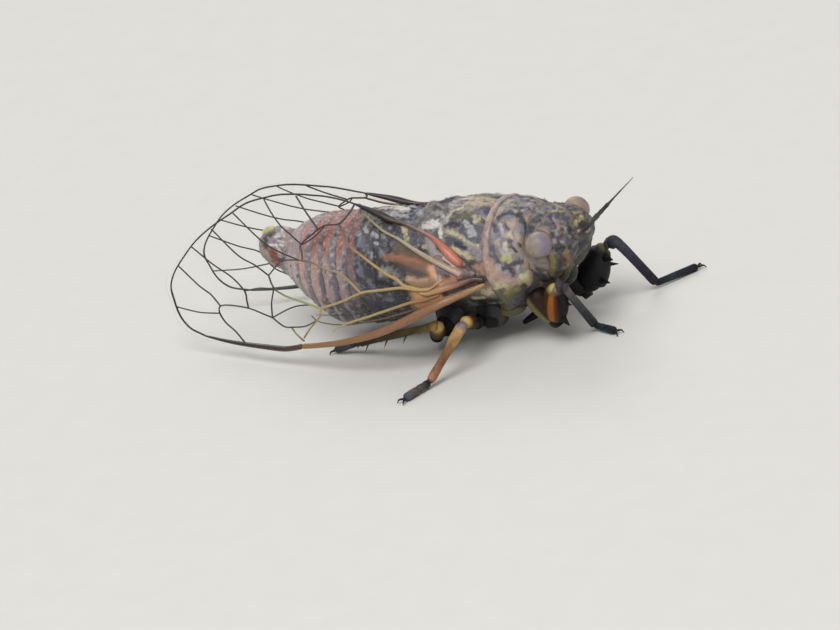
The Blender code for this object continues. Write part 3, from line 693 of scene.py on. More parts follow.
def makePronotum():
    def slant(x):
        return slantPerMm * np.clip((-2.84 - x) / (4.42 - 2.84), 0, 1)

    grid = trunkGrid(trunk["pronotum"], 0.025, trunk["sides"], slant)
    tree = treeOf(grid)
    colours, field = mosaic(grid, pronotumTones, 0.62, 41)
    tanAroundEyes(grid, colours, 1.35)
    relief = 0.012 * field
    addMarks(grid, colours, relief, pronotumMarks, tree)
    groove = ((-2.95, -0.28, 5.7), (-3.9, -0.42, 6.0))
    addLine(grid, colours, relief, groove, 0.08, "soot", -0.04)
    # The collar: a smooth raised band, with a dark groove in front and a dark rear edge
    depth = grid[..., 0] + slant(grid[..., 0]) * (grid[..., 2] - collarEdge["middle"])
    high = softStep(3.5, 4.0, grid[..., 2])
    collar = softStep(collarEdge["front"], collarEdge["front"] - 0.06, depth) * (0.25 + 0.75 * high)
    band = evenPaint(grid, "#a68d84")
    blend(band, "#b8a294", softStep(0.2, 1.0, mottle(grid * (1, 0.5, 0.5), 0.5, 45)) * 0.7)
    blend(band, "#7d6d6a", softStep(0.4, 1.1, mottle(grid, 0.3, 46)) * 0.6)
    blend(band, "#bd9680", softStep(3.0, 2.3, grid[..., 2]) * 0.8)
    blend(band, "#33303a", softStep(collarEdge["rim"], collarEdge["rim"] - 0.04, depth))
    colours += collar[..., None] * (band - colours)
    blend(colours, "#4a414c", bell(depth, collarEdge["groove"], 0.035) * 0.6)
    relief += 0.015 * collar - 0.03 * bell(depth, collarEdge["groove"], 0.04)
    below = softStep(3.2, 2.7, grid[..., 2])
    blend(colours, "#4c463a", below * 0.85)
    addMarks(grid, colours, relief, flankMarks, tree)
    # The lower edge of the shield stands out over the side
    relief += 0.05 * bell(grid[..., 2], 3.3, 0.16) * softStep(-4.3, -4.2, grid[..., 0])
    grid = raised(grid, relief)
    addShells("pronotum-shield", [(grid, colours)], platesMaterial, ("pronotum",))
    return grid, colours


# Mesothorax and metathorax, with the X-shaped ridge and the side plates
thoraxTones = ("#77716e", "#928b82", "#555566", "#262538")
backMarks = (
    ("olive", 0.1, (470, 199), (494, 199)),
    ("buff", 0.22, (468, 204), (480, 204), (494, 205)),
    ("cream", 0.11, (462, 199), (472, 198)),
    ("soot", 0.17, (438, 207), (444, 203), (451, 201)),
    ("silver", 0.1, (437, 212), (443, 216), (447, 222)),
    ("silver", 0.08, (450, 203), (452, 205)),
    ("cream", 0.08, (448, 217), (455, 210), (462, 208)),
    ("soot", 0.08, (454, 213), (456, 215)),
    ("soot", 0.12, (446, 226), (453, 223), (459, 225)),
    ("moss", 0.2, (458, 217), (470, 214)),
    ("cream", 0.14, (474, 217), (477, 221)),
    ("rosy", 0.06, (478, 216), (488, 220)),
    ("navy", 0.22, (486, 210), (491, 213)),
    ("steel", 0.1, (481, 212), (483, 216)),
    ("silver", 0.11, (465, 222), (470, 228), (470, 236)),
    ("slate", 0.1, (476, 228), (479, 236), (478, 244)),
    ("silver", 0.07, (472, 226), (475, 235)),
    ("slate", 0.08, (462, 225), (463, 231)),
    ("cream", 0.1, (447, 232), (457, 234), (463, 238), (470, 244), (477, 246)),
    ("slate", 0.13, (448, 238), (456, 241), (464, 246)),
    ("soot", 0.1, (456, 245), (466, 248)),
    ("lilac", 0.2, (472, 248), (479, 256)),
    ("cream", 0.12, (453, 249), (462, 253), (471, 258)),
    ("umber", 0.06, (451, 251), (459, 257), (467, 263)),
    ("umber", 0.12, (472, 262), (481, 265)),
    ("plum", 0.1, (467, 266), (474, 266), (479, 264)),
    ("salmon", 0.2, (479, 268), (486, 270), (492, 272)),
    ("buff", 0.08, (468, 273), (473, 273)),
    ("umber", 0.15, (467, 279), (480, 279), (492, 279)),
    ("soot", 0.1, (455, 288), (470, 285)),
    ("cream", 0.17, (484, 293), (490, 292)),
    ("cream", 0.15, (495, 286), (503, 284)),
    ("cream", 0.08, (474, 298), (484, 297)),
    ("steel", 0.2, (472, 303), (480, 306)),
    ("buff", 0.13, (453, 307), (457, 313)),
    ("slate", 0.14, (480, 305), (490, 307)),
    ("black", 0.14, (494, 306), (502, 309)),
    ("olive", 0.2, (503, 303), (516, 303)),
    ("silver", 0.08, (491, 303), (494, 303)),
    ("steel", 0.18, (456, 309), (474, 306)),
    # The two white marks on the metanotum are pale spots brightened by a painted highlight
    ("white", 0.2, (427, 226), (432, 225), (436, 225)),
    ("white", 0.1, (441, 227), (441, 237)),
    ("lilac", 0.12, (432, 238), (434, 254)),
    ("navy", 0.09, (438, 245), (446, 254)),
    ("navy", 0.11, (412, 217), (416, 218)),
    ("silver", 0.11, (418, 213), (421, 216)),
    ("soot", 0.14, (398, 228), (402, 232)),
    ("cream", 0.12, (405, 229), (408, 239)),
    ("slate", 0.17, (413, 233), (416, 243)),
    ("soot", 0.1, (420, 248), (428, 251)),
    ("cream", 0.08, (423, 246), (427, 248)),
    ("plum", 0.08, (427, 234), (430, 237)),
    ("white", 0.26, (384, 209), (394, 207), (404, 211)),
    ("silver", 0.13, (364, 207), (374, 206), (382, 208)),
    ("silver", 0.1, (398, 216), (406, 217)),
    ("steel", 0.15, (361, 238), (364, 246)),
    ("silver", 0.09, (365, 228), (367, 232)),
    ("silver", 0.08, (373, 233), (378, 237)),
    ("silver", 0.06, (375, 243), (378, 244)),
    ("silver", 0.07, (372, 253), (372, 257)),
    ("steel", 0.12, (358, 263), (362, 268), (361, 274)),
    ("steel", 0.1, (370, 282), (373, 287)),
    ("black", 0.14, (378, 282), (388, 286), (398, 288)),
    ("navy", 0.22, (380, 303), (392, 303), (400, 300)),
    ("steel", 0.08, (384, 299), (392, 300)),
    ("black", 0.16, (380, 317), (400, 315)),
)
# Cone-shaped dark marks of the back, in mm: from the midline at the foot and at the tip, half width, length
cones = ((0.42, 0.3, 0.26, 1.35), (1.45, 1.05, 0.34, 2.1))
coneFront = -4.75
# Seams between the side plates, in mm on the right side
seams = (
    ((-5.0, -2.6, 3.9), (-5.2, -2.62, 3.0), (-5.0, -2.4, 2.2)),
    ((-6.2, -2.6, 3.9), (-6.5, -2.55, 3.0), (-6.3, -2.3, 2.2)),
    ((-7.2, -2.5, 3.6), (-7.4, -2.45, 2.8), (-7.2, -2.2, 2.1)),
)
# Breast and hip bulges under the thorax, on the left side and mirrored: centre, radii, colour
bulges = (
    ((-4.35, 1.45, 1.95), (0.5, 0.5, 0.5), "#57513e"),
    ((-4.5, 1.3, 1.5), (0.75, 0.55, 0.35), "#57532c"),
    # The three near-black lumps are partly the dark breast and hips and partly painted shade, filling the
    # shadow under the body
    ((-6.2, 0.5, 1.8), (2.3, 1.2, 0.85), "#151316"),
    ((-5.3, 1.45, 1.4), (0.72, 0.6, 0.75), "#121013"),
    ((-7.35, 1.4, 1.35), (0.8, 0.6, 0.72), "#121013"),
)
cross = {
    "centre": (-7.6, 0.0),
    "arms": ((0.75, 0.6), (0.75, -0.6), (-0.55, 0.55), (-0.55, -0.55)),
    "half": 0.2,
    "rise": 0.16,
}


def makeThorax():
    def slant(x):
        return slantPerMm * np.clip(1 - (-4.62 - x) / 1.5, 0, 1)

    grid = trunkGrid(trunk["thorax"], 0.04, trunk["sides"], slant)
    tree = treeOf(grid)
    colours, field = mosaic(grid, thoraxTones, 0.46, 51)
    threads = bell(mottle(grid, 0.3, 58), 0, 0.16) * softStep(-0.4, 0.6, mottle(grid, 0.8, 59))
    blend(colours, "#b0aa9e", threads * 0.6)
    relief = 0.012 * field + 0.008 * threads
    for foot, tip, half, length in cones:
        run = np.clip((coneFront - grid[..., 0]) / length, 0, 1)
        middle = foot + (tip - foot) * run
        away = np.abs(np.abs(grid[..., 1]) - middle) / (half * (1 - run) + 1e-3)
        inside = softStep(1.15, 0.85, away) * (run < 1) * (grid[..., 2] > 4.2)
        blend(colours, "#2a2a38", inside * 0.5)
        rim = bell(away, 1.1, 0.14) * (run < 1) * (grid[..., 2] > 4.2)
        blend(colours, "#a99f86", rim * 0.4)
    above = (grid[..., 2] > 4.5).astype(float)
    for arm in cross["arms"]:
        start = np.array(cross["centre"][:2])
        away = lineDistance(grid[..., :2], np.array([start, start + arm]))
        ridge = bell(away, 0, cross["half"]) * above
        relief = np.maximum(relief, cross["rise"] * ridge)
        blend(colours, "#4a4b50", ridge * 0.8)
        blend(colours, "#a0977f", bell(away, 0, 0.09) * above * 0.5)
    sideLow = softStep(3.9, 3.0, grid[..., 2])
    blend(colours, "#978b78", sideLow * softStep(-0.4, 0.6, mottle(grid, 0.8, 56)) * 0.8)
    # Near-black lower side: partly the dark underside, partly painted shade under the body
    under = softStep(2.75, 2.3, grid[..., 2])
    blend(colours, "#1b171b", under * 0.95)
    for seam in seams:
        addLine(grid, colours, relief, seam, 0.08, "soot", -0.07)
    addMarks(grid, colours, relief, backMarks, tree)
    grid = raised(grid, relief)
    parts = [(grid, colours)]
    for centre, radii, code in bulges:
        for side in (1, -1):
            lump = ballGrid((centre[0], side * centre[1], centre[2]), radii, 70, 70)
            paint = evenPaint(lump, code)
            blend(paint, "#3a352e", softStep(0.6, 1.6, mottle(lump, 0.6, 57)) * 0.5)
            parts.append((lump, paint))
    addShells("thorax-plates", parts, platesMaterial, ("mesothorax",))
    return grid, colours


# Abdomen: overlapping tergites with paler hind margins
abdomen = {
    "margins": (-8.6, -9.4, -10.15, -10.85, -11.52, -12.08, -12.8, -13.43, -14.14, -14.72, -15.1),
    "step": 0.06,
    "bandWidth": 0.36,
    "foldDepth": 0.06,
    "foldHeight": -0.52,
    # Colour of each tergite's hind margin: on the back, on the flank, low down
    "bands": (("#37343d", "#34323b", "#26242c"), ("#3c3841", "#39363f", "#28262e"),
              ("#57494e", "#4c454d", "#34313a"), ("#8a605a", "#87706f", "#625a60"),
              ("#a9695f", "#ad9490", "#aa9a98"), ("#a8685e", "#b69c98", "#b5a4a0"),
              ("#b07468", "#c9a69c", "#bea8a2"), ("#b88a80", "#deb2a2", "#b8a6a4"),
              ("#b8a09c", "#d2b8b2", "#a89a98"), ("#b8a4a4", "#ccb6b6", "#a89a9c")),
}


def makeAbdomen():
    grid = trunkGrid(trunk["abdomen"], 0.03, trunk["sides"])
    x, z = grid[..., 0], grid[..., 2]
    middle = smoothThrough(trunk["abdomen"])(x[:, 0])
    height = (z - middle[:, 0][:, None]) / middle[:, 2][:, None]
    tree = treeOf(grid)
    # Margins bend back a little towards the belly
    bent = x + 0.06 * (1 - height) + 0.02 * mottle(grid, 1.5, 60)
    colours = evenPaint(grid, "#7b757e")
    blend(colours, "#84716c", softStep(0.5, 0.95, height) * 0.8)
    blend(colours, "#a89ea2", softStep(-12.9, -14.4, x))
    blend(colours, "#565460", softStep(-0.05, -0.4, height) * softStep(-14.4, -13.4, x) * 0.9)
    blend(colours, "#8f878c", softStep(0.3, 1.4, mottle(grid * (2, 1, 1), 0.5, 61)) * 0.4)
    basal = softStep(-11.65, -11.25, bent)
    blend(colours, "#3c3b45", basal)
    blend(colours, "#83848c", basal * softStep(0.3, 1.3, mottle(grid, 0.36, 62)) * 0.85)
    # Near-black low on the basal segments: partly their own colour, partly painted shade under the body
    blend(colours, "#1c1b22", basal * softStep(0.1, -0.5, height) * 0.8)
    relief = 0.012 * mottle(grid, 0.3, 64)
    margins = abdomen["margins"]
    upper = softStep(0.35, 0.75, height)
    lower = softStep(-0.1, -0.45, height)
    for front, rear, codes in zip(margins, margins[1:], abdomen["bands"]):
        inside = ((bent <= front) & (bent > rear)).astype(float)
        share = np.clip((front - bent) / (front - rear), 0, 1)
        relief += inside * abdomen["step"] * (softStep(0.0, 0.5, share) - 0.35)
        width = abdomen["bandWidth"] * (1 - 0.45 * lower)
        edge = rear + width + 0.03 * mottle(grid, 0.9, 65) + 0.008 * mottle(grid, 0.2, 66)
        band = inside * softStep(edge + 0.09, edge - 0.09, bent)
        tone = evenPaint(grid, codes[1])
        blend(tone, codes[0], upper)
        blend(tone, codes[2], lower)
        colours += (band * 0.92)[..., None] * (tone - colours)
        blend(colours, "#3f3038", bell(bent, rear, 0.03) * 0.6)
        blend(colours, "#4c4850", inside * softStep(0.35, 0.05, share) * softStep(0.7, 0.2, height) * 0.5)
    flecks = softStep(0.9, 1.7, mottle(grid * (1.4, 1, 1), 0.19, 67))
    blend(colours, "#d8cecc", flecks * (0.25 + 0.25 * softStep(-11.3, -11.9, x)))
    blend(colours, "#3a323c", softStep(1.75, 2.1, mottle(grid, 0.22, 63)) * 0.8)
    addMarks(grid, colours, relief, backMarks, tree)
    # Pleural fold: a soft furrow along each side low down
    relief -= abdomen["foldDepth"] * bell(height, abdomen["foldHeight"], 0.06)
    grid = raised(grid, relief)
    addShells("abdomen-tergites", [(grid, colours)], tergiteMaterial, ("abdomen",))
    return grid, colours


pygoferMarks = (
    ("lilac", 0.17, (272, 226), (281, 230)),
    # The white marks are painted highlights and glints on the pygofer
    ("white", 0.13, (285, 227), (291, 227)),
    ("lilac", 0.2, (270, 243), (276, 239)),
    ("white", 0.07, (275, 236), (279, 236)),
    ("white", 0.09, (283, 231), (285, 236)),
    ("white", 0.06, (279, 241), (283, 242)),
    ("white", 0.07, (270, 245), (276, 246)),
    ("white", 0.06, (280, 245), (283, 246)),
    ("plum", 0.04, (279, 239), (281, 240)),
    ("cream", 0.09, (279, 250), (281, 258)),
    # The rosy band down the pygofer's right side is partly pink and partly painted sheen
    ("rosy", 0.18, (287, 233), (290, 247)),
    ("umber", 0.15, (272, 234), (266, 236), (265, 247)),
    ("sulphur", 0.12, (267, 228), (271, 230)),
    ("buff", 0.13, (264, 251), (268, 255)),
    ("rust", 0.2, (272, 251), (275, 258), (277, 264)),
    ("soot", 0.13, (281, 260), (292, 257)),
)
# Small parts of the tail: centre, radii, lean in degrees, two colours
tailParts = (
    ((-16.42, 0.0, 5.02), (0.36, 0.24, 0.16), -18.0, "#c9c48a", "#e0dcae"),
    ((-16.15, -0.36, 3.75), (0.62, 0.22, 0.42), 20.0, "#86422a", "#a8907c"),
    ((-16.15, 0.36, 3.75), (0.62, 0.22, 0.42), 20.0, "#86422a", "#a8907c"),
    ((-16.75, 0.0, 3.85), (0.3, 0.16, 0.2), 25.0, "#5a3a28", "#8a6848"),
)


def makePygofer():
    grid = trunkGrid(trunk["pygofer"], 0.03, 140)
    tree = treeOf(grid)
    colours = evenPaint(grid, "#988a8e")
    blend(colours, "#a89a9a", softStep(0.0, 1.1, mottle(grid, 0.4, 71)) * 0.7)
    blend(colours, "#5a4a48", softStep(0.9, 1.5, mottle(grid, 0.3, 74)) * 0.7)
    relief = 0.015 * mottle(grid, 0.3, 72)
    addMarks(grid, colours, relief, pygoferMarks, tree)
    grid = raised(grid, relief)
    parts = [(grid, colours)]
    for centre, radii, lean, code, lightCode in tailParts:
        lobe = ballGrid(centre, radii, 40, 40, math.radians(lean))
        paint = evenPaint(lobe, code)
        blend(paint, lightCode, softStep(0.0, 1.0, mottle(lobe, 0.4, 73)))
        parts.append((lobe, paint))
    addShells("pygofer-capsule", parts, tergiteMaterial, ("pygofer",))
    return grid, colours


# Tubes: legs, feelers, beak, veins
def tubeGrid(route, radii, step=0.05, sides=24, flat=1.0, up=(0, 0, 1), roundEnds=True):
    # Radii are (share, radius) pairs; flat squashes the tube along its rise
    if len(route) > 2:
        line = spline(route, step)
    else:
        reach = np.linalg.norm(np.subtract(route[-1], route[0]))
        line = np.linspace(route[0], route[-1], max(6, int(reach / step)))
    lengths = np.concatenate([[0], np.cumsum(np.linalg.norm(np.diff(line, axis=0), axis=1))])
    share = lengths / lengths[-1]
    table = np.array(radii, float)
    if len(table) > 2:
        radius = smoothThrough(radii)(share)[:, 0]
    else:
        radius = np.interp(share, table[:, 0], table[:, 1])
    if roundEnds:
        caps = 8
        lead = np.linspace(0, 1, caps)[:-1]
        starts = line[0] + (line[1] - line[0]) / max(lengths[1], 1e-6) * radius[0] * lead[:, None]
        lastStep = max(lengths[-1] - lengths[-2], 1e-6)
        ends = line[-1] - (line[-1] - line[-2]) / lastStep * radius[-1] * lead[::-1][:, None]
        keep = (lengths > radius[0]) & (lengths < lengths[-1] - radius[-1])
        keepShare = share[keep]
        startShare = lead * radius[0] / lengths[-1]
        endShare = 1 - lead[::-1] * radius[-1] / lengths[-1]
        swell = np.sqrt(np.clip(1 - (1 - lead) ** 2, 0.004, 1))
        radius = np.concatenate([radius[0] * swell, radius[keep], radius[-1] * swell[::-1]])
        line = np.vstack([starts, line[keep], ends])
        share = np.concatenate([startShare, keepShare, endShare])
    along = np.gradient(line, axis=0)
    along /= np.maximum(np.linalg.norm(along, axis=1), 1e-9)[:, None]
    across = np.cross(along, up)
    across /= np.maximum(np.linalg.norm(across, axis=1), 1e-9)[:, None]
    rise = np.cross(across, along)
    angle = 2 * math.pi * np.arange(sides) / sides
    grid = (line[:, None, :] + radius[:, None, None] * (np.cos(angle)[None, :, None] * across[:, None, :]
            + flat * np.sin(angle)[None, :, None] * rise[:, None, :]))
    grid[..., 2] = np.maximum(grid[..., 2], 0.0)
    return grid, share, angle


def stopsPaint(grid, share, stops):
    # Colour along a tube from (share, hex) stops
    places = [s for s, _ in stops]
    codes = np.array([linear(c) for _, c in stops])
    row = np.stack([np.interp(share, places, codes[:, k]) for k in range(3)], axis=1)
    return np.repeat(row[:, None, :], grid.shape[1], axis=1)


def spike(root, tip, radius, code, tipCode, sides=10):
    grid, share, _ = tubeGrid((root, tip), ((0, radius), (1, radius * 0.12)), 0.03, sides, roundEnds=False)
    return grid, stopsPaint(grid, share, ((0, code), (1, tipCode)))


# Legs: route on the left side, from the body to the end of the foot
legs = {
    "fore-right": {
        "side": -1,
        "pair": "fore",
        "spineSize": 0.5,
        "shin": ((0, 0.24), (0.12, 0.2), (0.5, 0.18), (0.9, 0.2), (1, 0.2)),
        "route": ((-3.35, 1.2, 2.3), (-2.31, 1.5, 0.8), (-1.49, 2.28, 3.0), (-0.9, 0.79, 0.24),
                  (0.31, 1.22, 0.14)),
    },
    "fore-left": {
        "side": 1,
        "pair": "fore",
        "route": ((-3.35, 1.2, 2.3), (-2.34, 1.57, 0.6), (-1.2, 2.14, 2.75), (0.34, 3.14, 0.24),
                  (1.66, 4.94, 0.14)),
        "bend": (-0.52, 2.2, 2.72),
        "spineRise": 0.5,
        "thigh": ((0, 0.5), (0.15, 0.66), (0.45, 0.72), (0.8, 0.5), (1, 0.3)),
        "coxaPaint": ((0, "#171416"), (1, "#1d1818")),
        "thighPaint": ((0, "#161416"), (0.5, "#1b1a1c"), (0.86, "#201f22"), (0.93, "#5f5c48"),
                       (1, "#7c7860")),
        "shinPaint": ((0, "#7c7768"), (0.04, "#34363f"), (0.25, "#42444f"), (0.6, "#2b2d36"),
                      (1, "#1b1d23")),
    },
    "mid-right": {"side": -1, "pair": "mid"},
    "mid-left": {"side": 1, "pair": "mid"},
    "hind-right": {"side": -1, "pair": "hind"},
    "hind-left": {"side": 1, "pair": "hind"},
}
midRoute = ((-5.6, 1.2, 2.2), (-5.87, 2.0, 1.15), (-5.3, 4.0, 2.21), (-6.69, 5.84, 0.24), (-7.34, 7.18, 0.14))
hindRoute = ((-7.7, 1.1, 2.0), (-8.0, 2.15, 0.6), (-6.9, 3.55, 1.85), (-11.7, 2.6, 0.6), (-13.2, 2.4, 0.14))
thighRadii = {
    "fore": ((0, 0.28), (0.18, 0.46), (0.45, 0.56), (0.8, 0.45), (1, 0.26)),
    "mid": ((0, 0.22), (0.2, 0.28), (0.5, 0.33), (0.85, 0.25), (1, 0.25)),
    "hind": ((0, 0.22), (0.2, 0.3), (0.45, 0.36), (0.8, 0.27), (1, 0.25)),
}
shinRadii = {
    "fore": ((0, 0.26), (0.12, 0.24), (0.5, 0.21), (0.9, 0.21), (1, 0.21)),
    "mid": ((0, 0.22), (0.1, 0.25), (0.25, 0.25), (0.45, 0.2), (0.7, 0.18), (0.92, 0.19), (1, 0.16)),
    "hind": ((0, 0.24), (0.1, 0.19), (0.5, 0.17), (0.9, 0.18), (1, 0.2)),
}
# Colours along each joint of a leg, from its body end
coxaPaint = {
    "fore": ((0, "#241d18"), (0.45, "#39251a"), (0.8, "#40291a"), (1, "#1e1612")),
    # The near-black mid and hind coxae, swollen at coxaMiddle, are partly their own colour and partly painted
    # shade filling the shadow under the body
    "mid": ((0, "#151315"), (0.5, "#121012"), (1, "#0f0d0f")),
    "hind": ((0, "#151315"), (0.5, "#110f12"), (1, "#0e0c0f")),
}
thighPaint = {
    "fore": ((0, "#151210"), (0.3, "#1b1511"), (0.86, "#241b14"), (0.94, "#8a7f70"), (1, "#8d8490")),
    "mid": ((0, "#0f0d0f"), (0.5, "#171315"), (0.74, "#4c3620"), (0.86, "#b48c48"), (1, "#c9aa70")),
    "hind": ((0, "#0e0c0b"), (0.3, "#19130b"), (0.62, "#4a360e"), (0.8, "#98732c"), (0.92, "#c9a660"),
             (1, "#cfb47c")),
}
shinPaint = {
    # The pinkish light stop at 0.14 on the fore shin is a painted highlight
    "fore": ((0, "#3c3840"), (0.07, "#423d46"), (0.14, "#6c625e"), (0.24, "#56504e"), (0.5, "#3c3c40"),
             (0.9, "#2b2c32"), (1, "#1f2228")),
    "mid": ((0, "#6c6074"), (0.06, "#857a80"), (0.14, "#b0905f"), (0.32, "#ac8452"), (0.45, "#8c6a4a"),
            (0.62, "#7a563c"), (0.8, "#93664a"), (0.93, "#a87a5e"), (0.97, "#6c4a40"), (1, "#2b1d22")),
    "hind": ((0, "#b08c4c"), (0.1, "#75602f"), (0.3, "#4c4024"), (0.9, "#392f22"), (1, "#231d1e")),
}
footPaint = {
    "fore": ((0, "#1c2026"), (0.4, "#272d35"), (0.6, "#20262d"), (1, "#191f25")),
    "mid": ((0, "#2b2026"), (0.2, "#544a49"), (0.6, "#5c5450"), (0.8, "#4c4b51"), (1, "#434e60")),
    "hind": ((0, "#262429"), (0.3, "#48454b"), (0.6, "#423e46"), (1, "#2c2b2f")),
}
# Middle point of the mid and hind coxae, which swell there
# The swollen near-black coxae are partly painted shade under the body
coxaMiddle = {"mid": (-5.2, 1.5, 1.35), "hind": (-7.45, 1.5, 1.25)}
# The three joints of a foot, as shares of its length; they overlap, and each is wider at its far end
footJoints = ((-0.04, 0.24), (0.14, 0.48), (0.38, 0.95))
# Spines of the fore thigh: place along it, length, turn around it in degrees, radius
thighSpines = ((0.22, 0.75, -50, 0.2), (0.52, 0.4, -10, 0.13), (0.7, 0.4, -50, 0.2), (0.4, 0.3, 50, 0.12),
               (0.6, 0.26, 50, 0.1))
shinSpines = (0.28, 0.4, 0.52, 0.64, 0.76, 0.88)
ankleSpurs = 6


def footSlice(pair, start, end):
    # The foot's colours between two shares of its length, as stops of one joint
    places = [s for s, _ in footPaint[pair]]
    stops = []
    for share in (0, 0.5, 1):
        nearest = min(places, key=lambda s: abs(s - (start + (end - start) * share)))
        stops.append((share, footPaint[pair][places.index(nearest)][1]))
    return stops


def legParts(name):
    leg = legs[name]
    pair, side = leg["pair"], leg["side"]
    route = leg.get("route") or {"mid": midRoute, "hind": hindRoute}[pair]
    body, root, knee, ankle, toe = [np.array((p[0], side * p[1], p[2])) for p in route]
    parts = []

    def segment(points, radii, stops, sides=36, edit=None):
        grid, share, _ = tubeGrid(points, radii, 0.04, sides)
        colours = stopsPaint(grid, share, stops)
        tone = mottle(grid, 0.35, len(parts) + 80)
        colours *= (1 + 0.12 * tone)[..., None]
        if edit:
            edit(grid, share, colours)
        parts.append((grid, colours))

    def across(grid):
        # -1 to 1 from the rear side of a segment to its front side
        centre = grid.mean(axis=1, keepdims=True)
        offset = (grid - centre) @ (sightRight * (1, -side, 1))
        return offset / np.maximum(np.abs(offset).max(axis=1, keepdims=True), 1e-6)

    def thighStripes(grid, share, colours):
        # Along the fore thigh: a warm stripe behind, black in front
        turn = across(grid)
        core = (softStep(0.1, 0.22, share) * softStep(0.93, 0.82, share))[:, None]
        if pair == "fore":
            blend(colours, "#44290f", core * softStep(-0.55, -0.8, turn))
            blend(colours, "#a05c17", core * softStep(-0.72, -0.6, turn) * softStep(-0.06, -0.2, turn))
            blend(colours, "#7c2a0c", core * softStep(-0.14, -0.04, turn) * softStep(0.12, 0.02, turn))
            blend(colours, "#100e0c", core * softStep(0.04, 0.14, turn))
            blend(colours, "#c4ae58", softStep(0.88, 0.93, share)[:, None] * softStep(-0.45, -0.7, turn))
        elif pair == "hind":
            blend(colours, "#1a150c", core * softStep(0.2, 0.8, turn) * 0.6)

    def coxaLitEdge(grid, share, colours):
        # Painted highlight: an olive band along the rear edge of the right fore coxa, where light catches it
        if name == "fore-right":
            turn = across(grid)
            core = softStep(0.08, 0.2, share)[:, None]
            blend(colours, "#7c744a", core * softStep(-0.6, -0.86, turn))

    middle = body * 0.4 + root * 0.6
    if pair in coxaMiddle:
        middle = np.array(coxaMiddle[pair]) * (1, side, 1)
    segment((body, middle, root), ((0, 0.54), (0.55, 0.52), (1, 0.32)),
            leg.get("coxaPaint", coxaPaint[pair]), edit=coxaLitEdge)
    hip = root + (knee - root) * 0.07
    segment((root + (body - root) * 0.05, hip), ((0, 0.3), (1, 0.3)), ((0, "#151214"), (1, "#1f1918")))
    thighEdit = None if "thighPaint" in leg else thighStripes
    thigh = leg.get("thigh", thighRadii[pair])
    segment((hip, hip * 0.5 + knee * 0.5, knee), thigh, leg.get("thighPaint", thighPaint[pair]),
            edit=thighEdit)
    shinStart = knee
    if pair == "fore":
        aside = (ankle - knee) / np.linalg.norm(ankle - knee)
        along = (root - knee) / np.linalg.norm(root - knee)
        aside = aside - along * (aside @ along)
        aside /= np.linalg.norm(aside)
        shinStart = knee + aside * 0.3
        segment((knee, knee + aside * 0.36), ((0, 0.28), (1, 0.3)), ((0, "#4c463e"), (1, "#3c3840")))
    bend = leg.get("bend", (shinStart + ankle) / 2 * (1, side, 1)) * np.array((1, side, 1))
    segment((shinStart, bend, ankle), leg.get("shin", shinRadii[pair]), leg.get("shinPaint", shinPaint[pair]))
    foot = toe - ankle
    for start, end in footJoints:
        a, b = ankle + foot * start, ankle + foot * end
        lift = np.array((0, 0, 0.02))
        wide = (0.17 if pair == "mid" else 0.15) + 0.03 * end
        segment((a + lift, b + lift), ((0, wide * 0.92), (1, wide)), footSlice(pair, start, end), 24)
    # Two claws
    heading = foot / np.linalg.norm(foot)
    aside = np.cross(heading, (0, 0, 1))
    for turn in (1, -1):
        claw = (toe - heading * 0.12, toe + heading * 0.1 + aside * turn * 0.16 + (0, 0, 0.03),
                toe + heading * 0.2 + aside * turn * 0.2 - (0, 0, 0.1))
        grid, share, _ = tubeGrid(claw, ((0, 0.06), (0.5, 0.045), (1, 0.012)), 0.03, 12)
        parts.append((grid, stopsPaint(grid, share, ((0, "#3a2a20"), (1, "#171312")))))
    # Spines
    if pair == "fore":
        axis = (knee - hip) / np.linalg.norm(knee - hip)
        facing = ankle - knee
        facing = facing - axis * (facing @ axis)
        facing /= np.linalg.norm(facing)
        outer = np.cross(axis, facing)
        for share, reach, degrees, wide in thighSpines:
            lean = math.radians(degrees)
            turned = facing * math.cos(lean) + outer * math.sin(lean) + (0, 0, leg.get("spineRise", 0))
            turned /= np.linalg.norm(turned)
            reach *= leg.get("spineSize", 1)
            spot = hip + (knee - hip) * share + turned * (thigh[2][1] - 0.2)
            parts.append(spike(spot, spot + turned * (reach + 0.15) - axis * 0.1, wide, "#141216", "#171c1c"))
    if pair == "hind":
        axis = (ankle - knee) / np.linalg.norm(ankle - knee)
        for index, share in enumerate(shinSpines):
            spot = knee + (ankle - knee) * share
            turned = np.array((0.1, side * (0.7 if index % 2 else -0.7), -0.7))
            turned /= np.linalg.norm(turned)
            parts.append(spike(spot + turned * 0.12, spot + turned * 0.5 + axis * 0.18, 0.05, "#4a3524",
                               "#17110d"))
    if pair != "fore":
        for index in range(ankleSpurs):
            turn = 2 * math.pi * index / ankleSpurs
            offset = np.array((0, math.cos(turn), math.sin(turn)))
            spot = ankle + offset * 0.13
            parts.append(spike(spot, spot + heading * 0.16 + offset * 0.1, 0.03, "#4a3524", "#17110d", 6))
    return parts


def makeLegs():
    for name in legs:
        ending = name.replace("-", "_")
        nodes = [part + ending for part in ("coxa_", "femur_", "tibia_", "tarsus_")]
        addShells("leg-" + name, legParts(name), legMaterial, nodes)


# Feelers and beak
beak = {
    "route": ((-2.3, 0.0, 2.1), (-3.1, -0.05, 1.1), (-4.6, -0.45, 0.28)),
    "radii": ((0, 0.3), (0.2, 0.27), (0.55, 0.24), (0.8, 0.17), (1, 0.1)),
    "paint": ((0, "#2a2620"), (0.4, "#332c23"), (0.7, "#221e1b"), (1, "#151313")),
}
feeler = {
    "thickness": 0.17,
    "base": (-0.54, 0.7, 4.6),
    "tip": (1.35, 1.6, 6.1),
    "radii": ((0, 0.11), (0.1, 0.12), (0.13, 0.09), (0.2, 0.1), (0.24, 0.085), (0.36, 0.09), (0.4, 0.055),
              (0.5, 0.045), (0.52, 0.038), (0.7, 0.034), (0.72, 0.028), (1.0, 0.015)),
}


